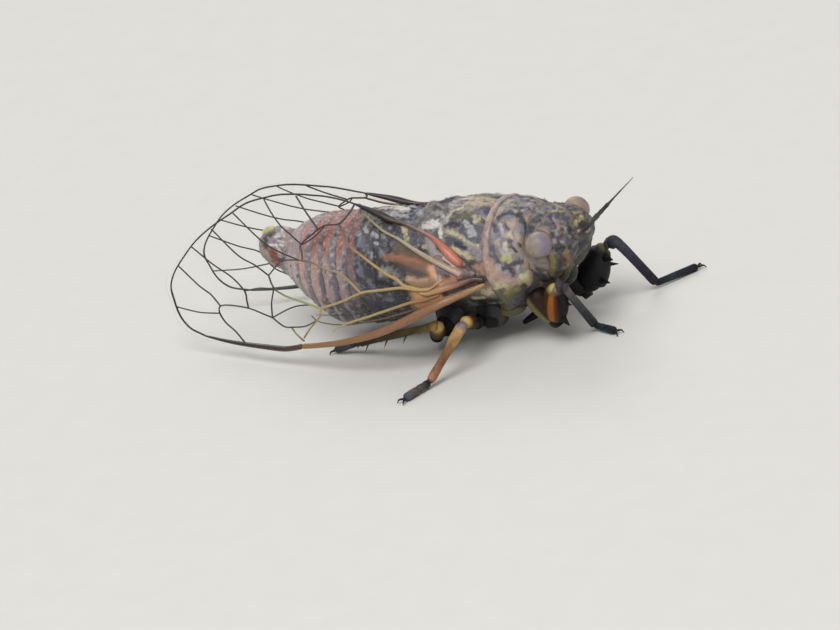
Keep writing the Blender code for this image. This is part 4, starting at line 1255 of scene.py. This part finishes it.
def makeFeelers():
    for label, side in (("left", 1), ("right", -1)):
        base = np.array(feeler["base"]) * (1, side, 1)
        tip = np.array(feeler["tip"]) * (1, side, 1)
        bend = (base + tip) / 2 + np.array((0.12, 0, 0.1))
        thick = feeler["thickness"]
        grid, share, _ = tubeGrid((base, bend, tip), ((0, thick), (1, thick)), 0.02, 16, roundEnds=False)
        table = np.array(feeler["radii"])
        radius = np.interp(share, table[:, 0], table[:, 1])
        centre = grid.mean(axis=1, keepdims=True)
        grid = centre + (grid - centre) * (radius / thick)[:, None, None]
        colours = stopsPaint(grid, share, ((0, "#6e635c"), (0.12, "#4c4441"), (0.3, "#3c403a"),
                                           (1, "#4d5a48")))
        socket = ballGrid(base - np.array((0.2, 0, 0.12)), (0.22, 0.16, 0.15), 40, 40)
        ring = evenPaint(socket, "#675c56")
        addShells("feeler-" + label, [(grid, colours), (socket, ring)], legMaterial,
                  ("antenna_" + label,))


def makeBeak():
    grid, share, angle = tubeGrid(beak["route"], beak["radii"], 0.03, 28)
    colours = stopsPaint(grid, share, beak["paint"])
    groove = bell(angle[None, :], math.pi / 2, 0.22)
    colours *= (1 - 0.6 * groove)[..., None]
    addShells("beak", [(grid, colours)], legMaterial, ("rostrum",))


# Wings: the roof that they make when folded
roofWidthAt = smoothThrough(((-4.0, 4.05), (-6.0, 4.35), (-8.0, 4.5), (-10.0, 4.42), (-12.0, 4.12),
                             (-14.0, 3.65), (-17.0, 2.92), (-20.0, 2.15), (-22.0, 1.6)))
roofRidgeAt = smoothThrough(((-4.0, 7.5), (-6.4, 7.45), (-9.0, 7.0), (-11.6, 6.7), (-13.0, 6.8),
                             (-15.0, 7.05), (-22.0, 7.05)))
roofFoot = 0.85
roofHalfGap = 0.42


def roof(x, z):
    width = roofWidthAt(x)[:, 0]
    ridge = roofRidgeAt(x)[:, 0]
    share = np.clip((ridge - z) / (ridge - roofFoot), 0, 1)
    return roofHalfGap + (width - roofHalfGap) * np.sin(0.5 * math.pi * share)


def roofPlaces(pixels):
    sight = np.array([sightOf(p) for p in pixels])
    y = np.full(len(sight), -3.0)
    for _ in range(30):
        reach = (y - eyePoint[1]) / sight[:, 1]
        spot = eyePoint + sight * reach[:, None]
        y = -roof(spot[:, 0], spot[:, 2])
    return spot[:, [0, 2]]


# How far the forewing's inner hem is tucked towards the midline: x, mm
hemTuckAt = smoothThrough(((-13.0, 0.0), (-12.1, 0.08), (-11.2, 0.22), (-10.05, 0.5), (-9.07, 0.78),
                           (-8.35, 0.86), (-7.5, 0.72), (-6.8, 0.56), (-6.1, 0.36), (-5.4, 0.1), (-5.0, 0.0)))
hemHeightAt = smoothThrough(((-13.0, 6.8), (-12.1, 6.64), (-11.2, 6.45), (-10.05, 6.18), (-9.07, 5.98),
                             (-8.35, 5.9), (-7.5, 5.69), (-6.8, 5.45), (-6.1, 4.99), (-5.0, 4.2)))


def slopes(surface, x, z, step=0.01):
    along = (surface(x + step, z) - surface(x - step, z)) / (2 * step)
    return along, (surface(x, z + step) - surface(x, z - step)) / (2 * step)


def wingPoint(flat, lift=0.0, surface=roof):
    # Points on the wing on the left side, raised along the outward normal
    x, z = flat[:, 0], flat[:, 1]
    leanX, leanZ = slopes(surface, x, z)
    normal = np.stack([-leanX, np.ones(len(x)), -leanZ], axis=1)
    normal /= np.linalg.norm(normal, axis=1)[:, None]
    spots = np.stack([x, surface(x, z), z], axis=1) + normal * np.reshape(lift, (-1, 1))
    hem = hemHeightAt(x)[:, 0]
    tuck = hemTuckAt(x)[:, 0] * softStep(hem - 1.5, hem, z) * (x < -5.0) * (x > -13.0)
    # The root bends in to the thorax
    tuck += wingLook["rootBend"] * softStep(-6.6, -4.2, x)
    return spots - tuck[:, None] * sightBack * (1, -1, 1), normal


marginPx = (
    (479, 284), (462, 297), (440, 309), (420, 318.5), (400, 328), (380, 336.5), (360, 343.5), (340, 348.5),
    (320, 351.5), (300, 352.5), (280, 352), (260, 350), (240, 347.5), (222, 343.5), (204, 339.5),
    (192, 334), (181, 326), (175, 315), (171, 303), (166.5, 290), (167.5, 276), (177, 261),
    (186, 246), (196, 234), (209, 221), (226, 209), (243, 198.5), (262, 194.5), (280, 189.5),
    (300, 190), (320, 191), (338, 194), (354, 199.5), (367, 208), (385, 216), (403, 220), (420, 226.5),
    (434, 236), (450, 250), (465, 264), (478, 274),
)
# Veins: radii in mm and colours, both spread evenly along the line of pixels
veinsPx = {
    "costa": ((0.12, 0.22, 0.25, 0.22, 0.18, 0.15, 0.14),
              ("#a88250", "#94694a", "#94694a", "#936a40", "#92703e"),
              ((486, 284), (472, 290), (458, 296), (440, 304), (420, 314), (400, 324), (380, 332.5),
               (362, 338), (338, 343), (314, 345.5), (303, 346))),
    "costa beyond node": ((0.15, 0.15, 0.13, 0.1, 0.05), ("#4a2f24", "#3a2c22", "#2f2c22", "#2a2c22"),
                          ((303, 346), (287, 348.5), (262, 346), (240, 343), (222, 339.5), (206, 335.5))),
    "ambient": ((0.05, 0.045, 0.045, 0.05, 0.045), ("#2a2e24", "#262b22"),
                ((206, 335.5), (190, 327), (180, 314), (174.5, 299), (171.5, 286), (175, 272), (184, 257),
                 (196, 241), (211.5, 227), (231, 213.5), (247, 203), (268, 197), (283, 194.5), (313, 195),
                 (338, 199), (355, 204))),
    "anal margin": ((0.06, 0.13, 0.17, 0.08, 0.07, 0.09, 0.14, 0.23, 0.22),
                    ("#241f1c", "#2c2320", "#33251f", "#614842", "#7c5c54", "#97685a", "#b4715e", "#cc7c66",
                     "#c0705c"),
                    ((355, 204), (375, 212), (390, 219), (405, 224), (420, 231), (433, 238), (445, 249),
                     (455, 259), (463, 265))),
    "claval": ((0.04, 0.06, 0.07, 0.09, 0.12, 0.15, 0.19),
               ("#8c8060", "#a89878", "#ac9c80", "#ac9c88", "#b09c88", "#c4a08c"),
               ((362, 212), (373, 222), (385, 232), (397, 238), (412, 248), (425, 256), (440, 264),
                (452, 270), (463, 275))),
    "radius": ((0.09, 0.08, 0.075, 0.065, 0.03), ("#946238", "#a68656", "#ae9a66", "#aa9a66", "#b8ae82"),
               ((440, 295), (425, 300), (410, 303), (395, 308), (380, 313), (365, 318), (352, 322),
                (340, 327), (333, 332))),
    "trunk": ((0.16, 0.15, 0.17, 0.18, 0.14, 0.05), ("#442c28", "#5a3c34", "#9c745c", "#bb8c66", "#c09a6c"),
              ((486, 280), (474, 279), (462, 283), (450, 287), (440, 290), (428, 294), (420, 293))),
    "arc": ((0.06, 0.08, 0.08), ("#bb9c68", "#bb9868", "#b88c64"),
            ((418, 290), (428, 290), (437, 284), (443, 279))),
    "media": ((0.085, 0.075, 0.07, 0.07), ("#bb9a66", "#b99c6a", "#b39a6c", "#b5a06c"),
              ((430, 289), (418, 290), (403, 288), (388, 289.5), (375, 291), (362, 293), (346, 300),
               (334, 304.5), (321, 308.5))),
    "cubitus": ((0.085, 0.075, 0.065, 0.065, 0.05), ("#bb9c68", "#b99a64", "#b39460", "#a0785a", "#66493c"),
                ((420, 289.5), (405, 286), (398, 280), (388, 275), (375, 266), (362, 256), (352, 248),
                 (345, 240), (342, 231), (339, 224))),
    "media upper": ((0.06, 0.05, 0.045, 0.04), ("#b09668", "#a08a5c", "#6c5842", "#3a362a"),
                    ((361, 293), (346, 278), (336, 272), (325, 269.5), (313, 263), (300, 260.5),
                     (282, 261.5), (269, 275.5))),
    "media middle": ((0.065, 0.055, 0.05, 0.035), ("#b4a070", "#9c9a58", "#8a9460", "#3e452e"),
                     ((321, 308.5), (300, 301), (286, 296), (274, 289))),
    "media lower": ((0.045, 0.04, 0.04), ("#5c5234", "#2a3324", "#2a3324"),
                    ((318, 320), (306, 326), (292, 327), (284, 326), (273, 317.5))),
    "node branch": ((0.055, 0.045, 0.05), ("#b49c66", "#9c8452", "#8c6a44"),
                    ((321, 309.5), (320, 317), (311, 328), (304.5, 338))),
    "node link": ((0.04, 0.04, 0.05), ("#727a4e", "#8c8a58", "#704a34"),
                  ((292, 327), (297, 334), (305, 341))),
    "cell curve": ((0.04, 0.04), ("#2a3324", "#3c4028"), ((273, 317.5), (290, 308.5), (301, 305.5),
                   (312, 305))),
    "rung": ((0.04, 0.04), ("#2a3324", "#2a3324"), ((269, 275.5), (272, 284), (274, 289), (272, 303),
             (273, 317.5))),
    "apical 1": ((0.04, 0.04, 0.04), ("#2a3324", "#262e20"),
                 ((273, 317.5), (262, 313), (249, 308), (230, 305), (221, 306), (220, 312), (226, 322),
                  (236, 331), (246, 343))),
    "apical 2": ((0.04, 0.035), ("#262e20", "#262b20"), ((220, 313), (200, 312), (177, 306.5))),
    "apical 3": ((0.04, 0.035), ("#262e20", "#262b20"), ((221, 306), (211, 294), (200, 286), (178, 265))),
    "apical 4": ((0.04, 0.035), ("#262e20", "#262b20"), ((249, 308), (247, 299), (245, 291), (232, 277),
                 (213, 264), (191, 246))),
    "apical 4 link": ((0.035, 0.035), ("#262e20", "#2a3324"), ((245, 291), (260, 288), (274, 289))),
    "apical 5": ((0.04, 0.035), ("#2a3324", "#262b20"), ((269, 275.5), (255, 265), (238, 255),
                 (211.5, 229))),
    "apical 6": ((0.04, 0.035), ("#3a362a", "#262b20"), ((300, 260.5), (280, 252), (262, 241), (233, 213))),
    "apical 7": ((0.04, 0.035), ("#2f3024", "#262b20"), ((302, 245), (290, 234), (281, 226), (271, 212),
                 (264, 199))),
    "apical 8": ((0.045, 0.04), ("#4a302e", "#262b20"), ((318, 229), (306, 212), (296, 196))),
    "hem cell": ((0.04, 0.045, 0.05, 0.05), ("#4a3834", "#4a2a2e", "#552c30", "#2e2622"),
                 ((303, 262), (302, 252), (301, 245), (313, 234), (325, 225.5), (339, 224), (349, 214),
                  (355, 204))),
    "hem lower": ((0.04, 0.04), ("#4a2a2e", "#4a2a2e"), ((302, 245), (312, 239), (319, 233), (325, 226))),
}
# Tinted places of the forewing's film: pixels, half width in mm, colour and how much it hides
filmTints = (
    (((418, 296), (430, 296), (446, 290)), 0.3, "#c08e68", 0.95),
    (((440, 288), (452, 284)), 0.3, "#a87e62", 0.95),
    (((446, 283), (458, 279)), 0.2, "#b08468", 0.9),
    (((445, 293), (462, 289), (476, 283)), 0.13, "#301a16", 0.95),
    (((468, 279), (484, 281)), 0.24, "#4e3634", 0.95),
    (((466, 272), (472, 273)), 0.08, "#98889a", 0.9),
    (((397, 247), (406, 252), (416, 257)), 0.16, "#766a58", 0.6),
    (((385, 257), (398, 258), (408, 260)), 0.08, "#9c7058", 0.85),
    (((402, 259), (414, 263), (427, 268)), 0.19, "#94705c", 0.85),
    (((392, 255), (406, 258), (420, 262)), 0.05, "#ac7458", 0.9),
    (((412, 266), (420, 269), (428, 273)), 0.12, "#86685c", 0.8),
    (((400, 266), (412, 272), (426, 277)), 0.1, "#64565a", 0.6),
    # This pinkish-tan spot on the basal cell is partly its own colour and partly a painted highlight
    (((431, 269), (434, 279)), 0.15, "#cc9468", 0.95),
    (((409, 279), (418, 282), (427, 280)), 0.11, "#cba48c", 0.9),
    (((412, 284), (430, 284), (440, 278)), 0.12, "#a88868", 0.6),
    (((432, 243), (438, 256), (450, 264)), 0.2, "#b4aaa8", 0.8),
    (((440, 262), (452, 265), (458, 268)), 0.13, "#b39886", 0.8),
    (((438, 246), (447, 256)), 0.08, "#2a2440", 0.85),
    (((454, 253), (465, 262)), 0.07, "#3c281e", 0.8),
    (((467, 265), (476, 267)), 0.14, "#3f2632", 0.85),
    (((362, 208), (378, 214), (396, 221)), 0.14, "#352c26", 0.8),
    (((437, 268), (448, 276)), 0.08, "#5a4456", 0.75),
)
wingLook = {"thickness": 0.03, "gridStep": 0.09, "wave": 0.02, "clear": "#c3c8ae", "rootBend": 0.9,
            "tintOwns": 20, "tintMixes": 1.2}
# Plates that carry the wing: its place in pixels, the place on the thorax in mm, radii
rootPlates = (
    ((474, 279), (-5.9, 2.3, 4.0), ((0, 0.6), (1, 0.26))),
    ((452, 268), (-6.9, 2.3, 4.6), ((0, 0.45), (1, 0.16))),
)
rootPaint = ((0, "#5a4a44"), (0.5, "#8c786c"), (0.8, "#6c4a42"), (1, "#4c302c"))
lobePx = ((386, 259), (396, 258), (410, 264), (430, 269))
lobePaint = ((0, "#a8705c"), (0.5, "#9c6a54"), (1, "#b0846c"))
hindwingOutline = ((-6.4, 3.15), (-7.6, 3.2), (-9.5, 3.1), (-11.5, 2.85), (-13.0, 2.45), (-13.7, 2.1),
                   (-13.1, 1.75), (-11.5, 1.75), (-9.5, 2.1), (-7.6, 2.5), (-6.5, 2.7))
hindwingVeins = {
    "leading": ((0.05, 0.025), ("#86603a", "#5a523c"), ((-6.5, 2.75), (-7.6, 2.6), (-9.5, 2.2),
                (-11.5, 1.85), (-13.1, 1.85), (-13.6, 2.1))),
    "middle": ((0.03, 0.02), ("#4c4238", "#4a443a"), ((-6.5, 2.9), (-8.5, 2.68), (-11.0, 2.3),
               (-13.3, 2.15))),
    "rear": ((0.025, 0.018), ("#4c4238", "#4a443a"), ((-6.5, 3.1), (-8.5, 3.1), (-11.0, 2.85),
             (-12.9, 2.42))),
}
hindwingDepth = 0.76


def hindRoof(x, z):
    return roof(x, z) - hindwingDepth * np.hypot(1, slopes(roof, x, z)[1])


def insidePolygon(points, polygon):
    inside = np.zeros(len(points), bool)
    x, y = points.T
    for (x1, y1), (x2, y2) in zip(polygon, np.roll(polygon, -1, axis=0)):
        crosses = (y1 > y) != (y2 > y)
        if y1 != y2:
            inside ^= crosses & (x < (x2 - x1) * (y - y1) / (y2 - y1) + x1)
    return inside


def membraneMaterial():
    # Wing membrane, a clear chitin film: nearly invisible face on, milky at a glancing angle
    material, tree, shader = newMaterial(
        "wing membrane clear film", {"IOR": 1.45, "Roughness": 0.2, "Metallic": 0.0, "Coat Weight": 0.2,
                                     "Coat Roughness": 0.1})
    where = addNode(tree, "ShaderNodeTexCoord").outputs["Object"]
    wrinkles = addNode(tree, "ShaderNodeTexNoise", {"Scale": perMm(0.5), "Detail": 4.0},
                       {"Vector": where}).outputs["Fac"]
    bump = addNode(tree, "ShaderNodeBump", {"Strength": 0.5, "Distance": 0.03 * mm},
                   {"Height": wrinkles}).outputs["Normal"]
    tree.links.new(bump, shader.inputs["Normal"])
    paint = addNode(tree, "ShaderNodeAttribute", {"attribute_name": "paint"})
    tree.links.new(paint.outputs["Color"], shader.inputs["Base Color"])
    glance = addNode(tree, "ShaderNodeLayerWeight", {"Blend": 0.25}).outputs["Facing"]
    veil = addNode(tree, "ShaderNodeMapRange", {"From Min": 0.45, "From Max": 1.0, "To Min": 0.0,
                                               "To Max": 0.25}, {"Value": glance}).outputs["Result"]
    cloud = addNode(tree, "ShaderNodeMath", {"operation": "MULTIPLY_ADD", 1: 0.015},
                    {0: wrinkles, 2: veil}).outputs["Value"]
    hidden = addNode(tree, "ShaderNodeMath", {"operation": "MAXIMUM"},
                     {0: cloud, 1: paint.outputs["Alpha"]}).outputs["Value"]
    tree.links.new(hidden, shader.inputs["Alpha"])
    return material


filmMaterial = membraneMaterial()


def makeFilm(name, outline, surface, side, node, tints=()):
    random = np.random.default_rng(3)
    low, high = outline.min(axis=0), outline.max(axis=0)
    step = wingLook["gridStep"]
    xs, zs = np.meshgrid(np.arange(low[0], high[0], step), np.arange(low[1], high[1], step))
    lattice = np.stack([xs.ravel(), zs.ravel()], axis=1)
    lattice += random.uniform(-0.2, 0.2, lattice.shape) * step
    centre = outline.mean(axis=0)
    lattice = lattice[insidePolygon(lattice, centre + (outline - centre) * 0.985)]
    corners = [Vector(p) for p in outline] + [Vector(p) for p in lattice]
    count = len(outline)
    flat, _, triangles, *_ = delaunay_2d_cdt(corners, [], [list(range(count))], 1, 0.001)
    flat = np.array([tuple(p) for p in flat])
    spots, normal = wingPoint(flat, 0.0, surface)
    ripple = wingLook["wave"] * mottle(spots, 1.6, 7)
    outer = spots + normal * (ripple + wingLook["thickness"] / 2)[:, None]
    inner = spots + normal * (ripple - wingLook["thickness"] / 2)[:, None]
    points = np.vstack([outer, inner]) * (1, side, 1)
    n = len(flat)
    triangles = [tuple(t) for t in triangles]
    faces = triangles + [tuple(i + n for i in reversed(t)) for t in triangles]
    used = {(a, b) for t in triangles for a, b in zip(t, (*t[1:], t[0]))}
    faces += [(b, a, a + n, b + n) for a, b in used if (b, a) not in used]
    if side < 0:
        faces = [tuple(reversed(f)) for f in faces]
    colours = np.ones((n, 3)) * linear(wingLook["clear"])
    hidden = np.zeros(n)
    for pixels, half, code, much in tints:
        streaks = 0.16 * mottle(spots * (0.5, 1, 1.5), 0.45, 8) + 0.08 * mottle(spots, 0.22, 9)
        away = lineDistance(flat, spline(roofPlaces(pixels), 0.2)) / half + streaks
        share = softStep(1.9, 0.3, away)
        # A tint owns the clear film at once, and mixes where another one lies
        blend(colours, code, share * np.where(hidden < 0.1, wingLook["tintOwns"], wingLook["tintMixes"]))
        hidden = np.maximum(hidden, share * much)
    shades = np.hstack([colours, hidden[:, None]])
    addPiece(name, points, faces, filmMaterial, np.vstack([shades, shades]), (node,))


def makeVeins(name, veins, surface, side, lift):
    parts = []
    for radii, codes, line in veins.values():
        # Forewing veins are read in pixels, hindwing veins are given in mm
        flat = roofPlaces(spline(line, 6)) if surface is roof else spline(line, 0.2)
        spots, _ = wingPoint(flat, lift, surface)
        spots[:, 1] *= side
        radiusStops = tuple(zip(np.linspace(0, 1, len(radii)), radii))
        grid, share, _ = tubeGrid(spots, radiusStops, 0.1, 14, 0.8)
        parts.append((grid, stopsPaint(grid, share, tuple(zip(np.linspace(0, 1, len(codes)), codes)))))
    addShells(name, parts, veinMaterial, ())


def makeWings():
    outline = roofPlaces(closedSpline(marginPx, 5))
    for label, side in (("left", 1), ("right", -1)):
        makeFilm("forewing-film-" + label, outline, roof, side, "forewing_" + label, filmTints)
        makeVeins("forewing-veins-" + label, veinsPx, roof, side, 0.03)
        hind = closedSpline(hindwingOutline, 0.25)
        makeFilm("hindwing-film-" + label, hind, hindRoof, side, "hindwing_" + label)
        makeVeins("hindwing-veins-" + label, hindwingVeins, hindRoof, side, 0.02)
        mirror = (1, side, 1)
        parts = []
        for pixel, start, radii in rootPlates:
            spot = wingPoint(roofPlaces([pixel]), -0.05)[0][0] * mirror
            grid, share, _ = tubeGrid((np.multiply(start, mirror), spot), radii, 0.05, 40, 0.55)
            colours = stopsPaint(grid, share, rootPaint)
            colours *= (1 + 0.2 * mottle(grid, 0.3, 91))[..., None]
            parts.append((grid, colours))
        # Folded lobe of the hindwing, seen through the forewing's base
        lobe = wingPoint(roofPlaces(lobePx), -0.5)[0] * mirror
        grid, share, _ = tubeGrid(lobe, ((0, 0.05), (0.3, 0.19), (0.7, 0.19), (1, 0.12)), 0.05, 24, 0.4)
        parts.append((grid, stopsPaint(grid, share, lobePaint)))
        addShells("wing-root-" + label, parts, platesMaterial, ())


# Down: short lying hairs, each a thin bent spike
downMaterial = paintedCuticle("silver down fine hairs", {
    "roughness": 0.5, "grain": 0.2, "fleck": 0.15, "pit": 0.1, "pitShare": 0.2, "relief": 0.1,
    "depth": 0.005, "sheen": 0.3})
# Length and radius in mm, seed of the random draws, slot and tints
down = {
    "thorax-down": {"length": 0.17, "radius": 0.009, "seed": 201, "slot": "black_cuticle",
                    "tints": ("#b5aa90", "#a89a6c", "#b0aca4")},
    "pronotum-down": {"length": 0.13, "radius": 0.008, "seed": 202, "slot": "tan_cuticle",
                      "tints": ("#b8ae9c", "#a8986e")},
    "head-down": {"length": 0.11, "radius": 0.008, "seed": 203, "slot": "black_cuticle",
                  "tints": ("#a8a090", "#78736a")},
    "abdomen-down": {"length": 0.13, "radius": 0.008, "seed": 204, "slot": "banded_cuticle",
                     "tints": ("#b4aea6", "#8f8a88")},
    "pygofer-down": {"length": 0.16, "radius": 0.009, "seed": 205, "slot": "lilac_cuticle",
                     "tints": ("#c8c0ba", "#a89c90")},
}


def makeDown(name, skin, density):
    # density is hairs for each square mm, at each point of the skin's grid
    grid, colours = skin
    look = down[name]
    radius, tints = look["radius"], look["tints"]
    random = np.random.default_rng(look["seed"])
    along = np.gradient(grid, axis=0)
    around = (np.roll(grid, -1, axis=1) - np.roll(grid, 1, axis=1)) / 2
    area = np.linalg.norm(np.cross(along, around), axis=2)
    weight = (area * density).ravel()
    count = int(weight.sum())
    picks = random.choice(len(weight), count, p=weight / weight.sum())
    rows, sides = grid.shape[:2]
    r, i = picks // sides, picks % sides
    jitter = random.uniform(-0.5, 0.5, (count, 2))
    root = grid[r, i] + along[r, i] * jitter[:, :1] + around[r, i] * jitter[:, 1:]
    normal = gridNormals(grid)[r, i]
    ahead = along[r, i]
    ahead /= np.maximum(np.linalg.norm(ahead, axis=1), 1e-9)[:, None]
    across = np.cross(normal, ahead)
    turn = random.normal(0, 0.45, count)[:, None]
    ahead = ahead * np.cos(turn) + across * np.sin(turn)
    across = np.cross(normal, ahead)
    size = look["length"] * random.uniform(0.6, 1.25, count)[:, None]
    lift = random.uniform(0.15, 0.5, count)[:, None]
    mid = root + ahead * size * 0.5 + normal * size * lift * 0.7
    tip = root + ahead * size * (1 - 0.2 * lift) + normal * size * lift * 0.6
    points = np.zeros((count, 7, 3))
    for k in range(3):
        turn = 2 * math.pi * k / 3
        offset = across * math.cos(turn) + normal * math.sin(turn)
        points[:, k] = root - normal * radius + offset * radius
        points[:, 3 + k] = mid + offset * radius * 0.7
    points[:, 6] = tip
    base = np.arange(count)[:, None] * 7
    quads = np.vstack([base + (0, 1, 4, 3), base + (1, 2, 5, 4), base + (2, 0, 3, 5)])
    tips = np.vstack([base + (3, 4, 6), base + (4, 5, 6), base + (5, 3, 6)])
    tone = np.array([linear(c) for c in tints])[random.integers(0, len(tints), count)]
    keep = random.uniform(0.3, 0.85, count)[:, None]
    hair = colours[r, i] * keep + tone * (1 - keep)
    paint = np.repeat(hair[:, None, :], 7, axis=1)
    faces = [tuple(f) for f in quads] + [tuple(f) for f in tips]
    made = addPiece(name, points.reshape(-1, 3), faces, downMaterial, paint, ())
    # Each hair is baked on a patch at its root's place on the skin, unrolled; patch is its side on the map
    patch = 0.003
    spots = np.stack([(i + 0.5) / sides, (r + 0.5) / rows], axis=1) * (1 - 2 * patch) + patch
    corners = np.array(((-0.5, -0.5), (0.5, -0.5), (0, -0.5), (-0.25, 0), (0.25, 0), (0, 0), (0, 0.5)))
    perPoint = (spots[:, None, :] + corners[None] * patch).reshape(-1, 2)
    layer = made.data.uv_layers.new(name="OFBake")
    index = np.zeros(len(made.data.loops), int)
    made.data.loops.foreach_get("vertex_index", index)
    layer.data.foreach_set("uv", perPoint[index].ravel())


def makeAllDown(head, pronotum, thorax, abdomenSkin, pygofer):
    x, _, z = np.moveaxis(thorax[0], -1, 0)
    top = softStep(3.2, 4.4, z)
    uncovered = softStep(-8.75, -8.5, x) * softStep(-4.4, -4.6, x)
    thick = 70 * top * softStep(0.4, 1.2, mottle(thorax[0], 0.6, 101))
    makeDown("thorax-down", thorax, (12 + 30 * top + thick) * uncovered)
    x, _, z = np.moveaxis(pronotum[0], -1, 0)
    makeDown("pronotum-down", pronotum, (10 + 26 * softStep(3.0, 4.4, z)) * softStep(-4.3, -4.15, x))
    makeDown("head-down", head, 24 * softStep(-0.7, -0.95, head[0][..., 0]))
    x, _, z = np.moveaxis(abdomenSkin[0], -1, 0)
    makeDown("abdomen-down", abdomenSkin, 14 + softStep(-11.6, -10.6, x) * softStep(4.0, 4.8, z) * 40)
    makeDown("pygofer-down", pygofer, np.full(pygofer[0].shape[:2], 20.0))


# Stage: floor, lights and camera
studio = {"floorHalf": 1.0, "air": "#eef0f4", "airStrength": 0.36}
# Soft boxes: where each stands from the animal in metres, its width, and its power in watts
lamps = (
    ("key", (0.05, -0.2, 0.45), 0.35, 1.45),
    ("fill", (0.45, -0.25, 0.15), 0.4, 0.3),
    ("rim", (-0.25, 0.35, 0.3), 0.3, 0.7),
)


def makeStage():
    half = studio["floorHalf"]
    mesh = bpy.data.meshes.new("floor")
    mesh.from_pydata([(-half, -half, 0), (half, -half, 0), (half, half, 0), (-half, half, 0)], [],
                     [(0, 1, 2, 3)])
    floor = bpy.data.objects.new("floor", mesh)
    bpy.context.scene.collection.objects.link(floor)
    material, tree, shader = newMaterial("floor card matt", {"Roughness": 0.9, "IOR": 1.45})
    where = addNode(tree, "ShaderNodeTexCoord").outputs["Object"]
    fibre = addNode(tree, "ShaderNodeTexNoise", {"Scale": perMm(1.5), "Detail": 3.0},
                    {"Vector": where}).outputs["Fac"]
    shade = addNode(tree, "ShaderNodeMix", {"data_type": "RGBA", 6: (*linear("#e3e1da"), 1),
                                           7: (*linear("#e8e6e0"), 1)}, {0: fibre}).outputs[2]
    tree.links.new(shade, shader.inputs["Base Color"])
    mesh.materials.append(material)
    world = bpy.data.worlds.new("studio")
    world.use_nodes = True
    sky = world.node_tree.nodes["Background"].inputs
    sky["Color"].default_value = (*linear(studio["air"]), 1)
    sky["Strength"].default_value = studio["airStrength"]
    bpy.context.scene.world = world
    for name, spot, size, power in lamps:
        light = bpy.data.lights.new(name, "AREA")
        light.shape = "DISK"
        light.size = size
        light.energy = power
        lamp = bpy.data.objects.new(name, light)
        bpy.context.scene.collection.objects.link(lamp)
        aim = Vector(place(view["centre"]))
        lamp.location = aim + Vector(spot)
        lamp.rotation_euler = (aim - lamp.location).to_track_quat("-Z", "Y").to_euler()


def makeCamera():
    data = bpy.data.cameras.new("camera")
    data.sensor_width = view["sensor"]
    data.lens = view["sensor"] * view["pxPerMm"] * view["distance"] / view["width"]
    data.clip_start = 0.01
    data.clip_end = 20
    camera = bpy.data.objects.new("camera", data)
    bpy.context.scene.collection.objects.link(camera)
    turn = Matrix((sightRight, sightUp, sightBack)).transposed().to_4x4()
    camera.matrix_world = Matrix.Translation(Vector(place(eyePoint))) @ turn
    bpy.context.scene.camera = camera


makeCamera()
makeStage()
bpy.context.scene.view_settings.view_transform = "Standard"
print("stage and camera set")
headSkin = makeHead()
makeFace()
makeEyes()
print("head, face and eyes made")
pronotumSkin = makePronotum()
thoraxSkin = makeThorax()
abdomenSkin = makeAbdomen()
pygoferSkin = makePygofer()
print("trunk made")
makeLegs()
makeFeelers()
makeBeak()
print("legs, feelers and beak made")
makeWings()
print("wings made")
makeAllDown(headSkin, pronotumSkin, thoraxSkin, abdomenSkin, pygoferSkin)
print("down made")
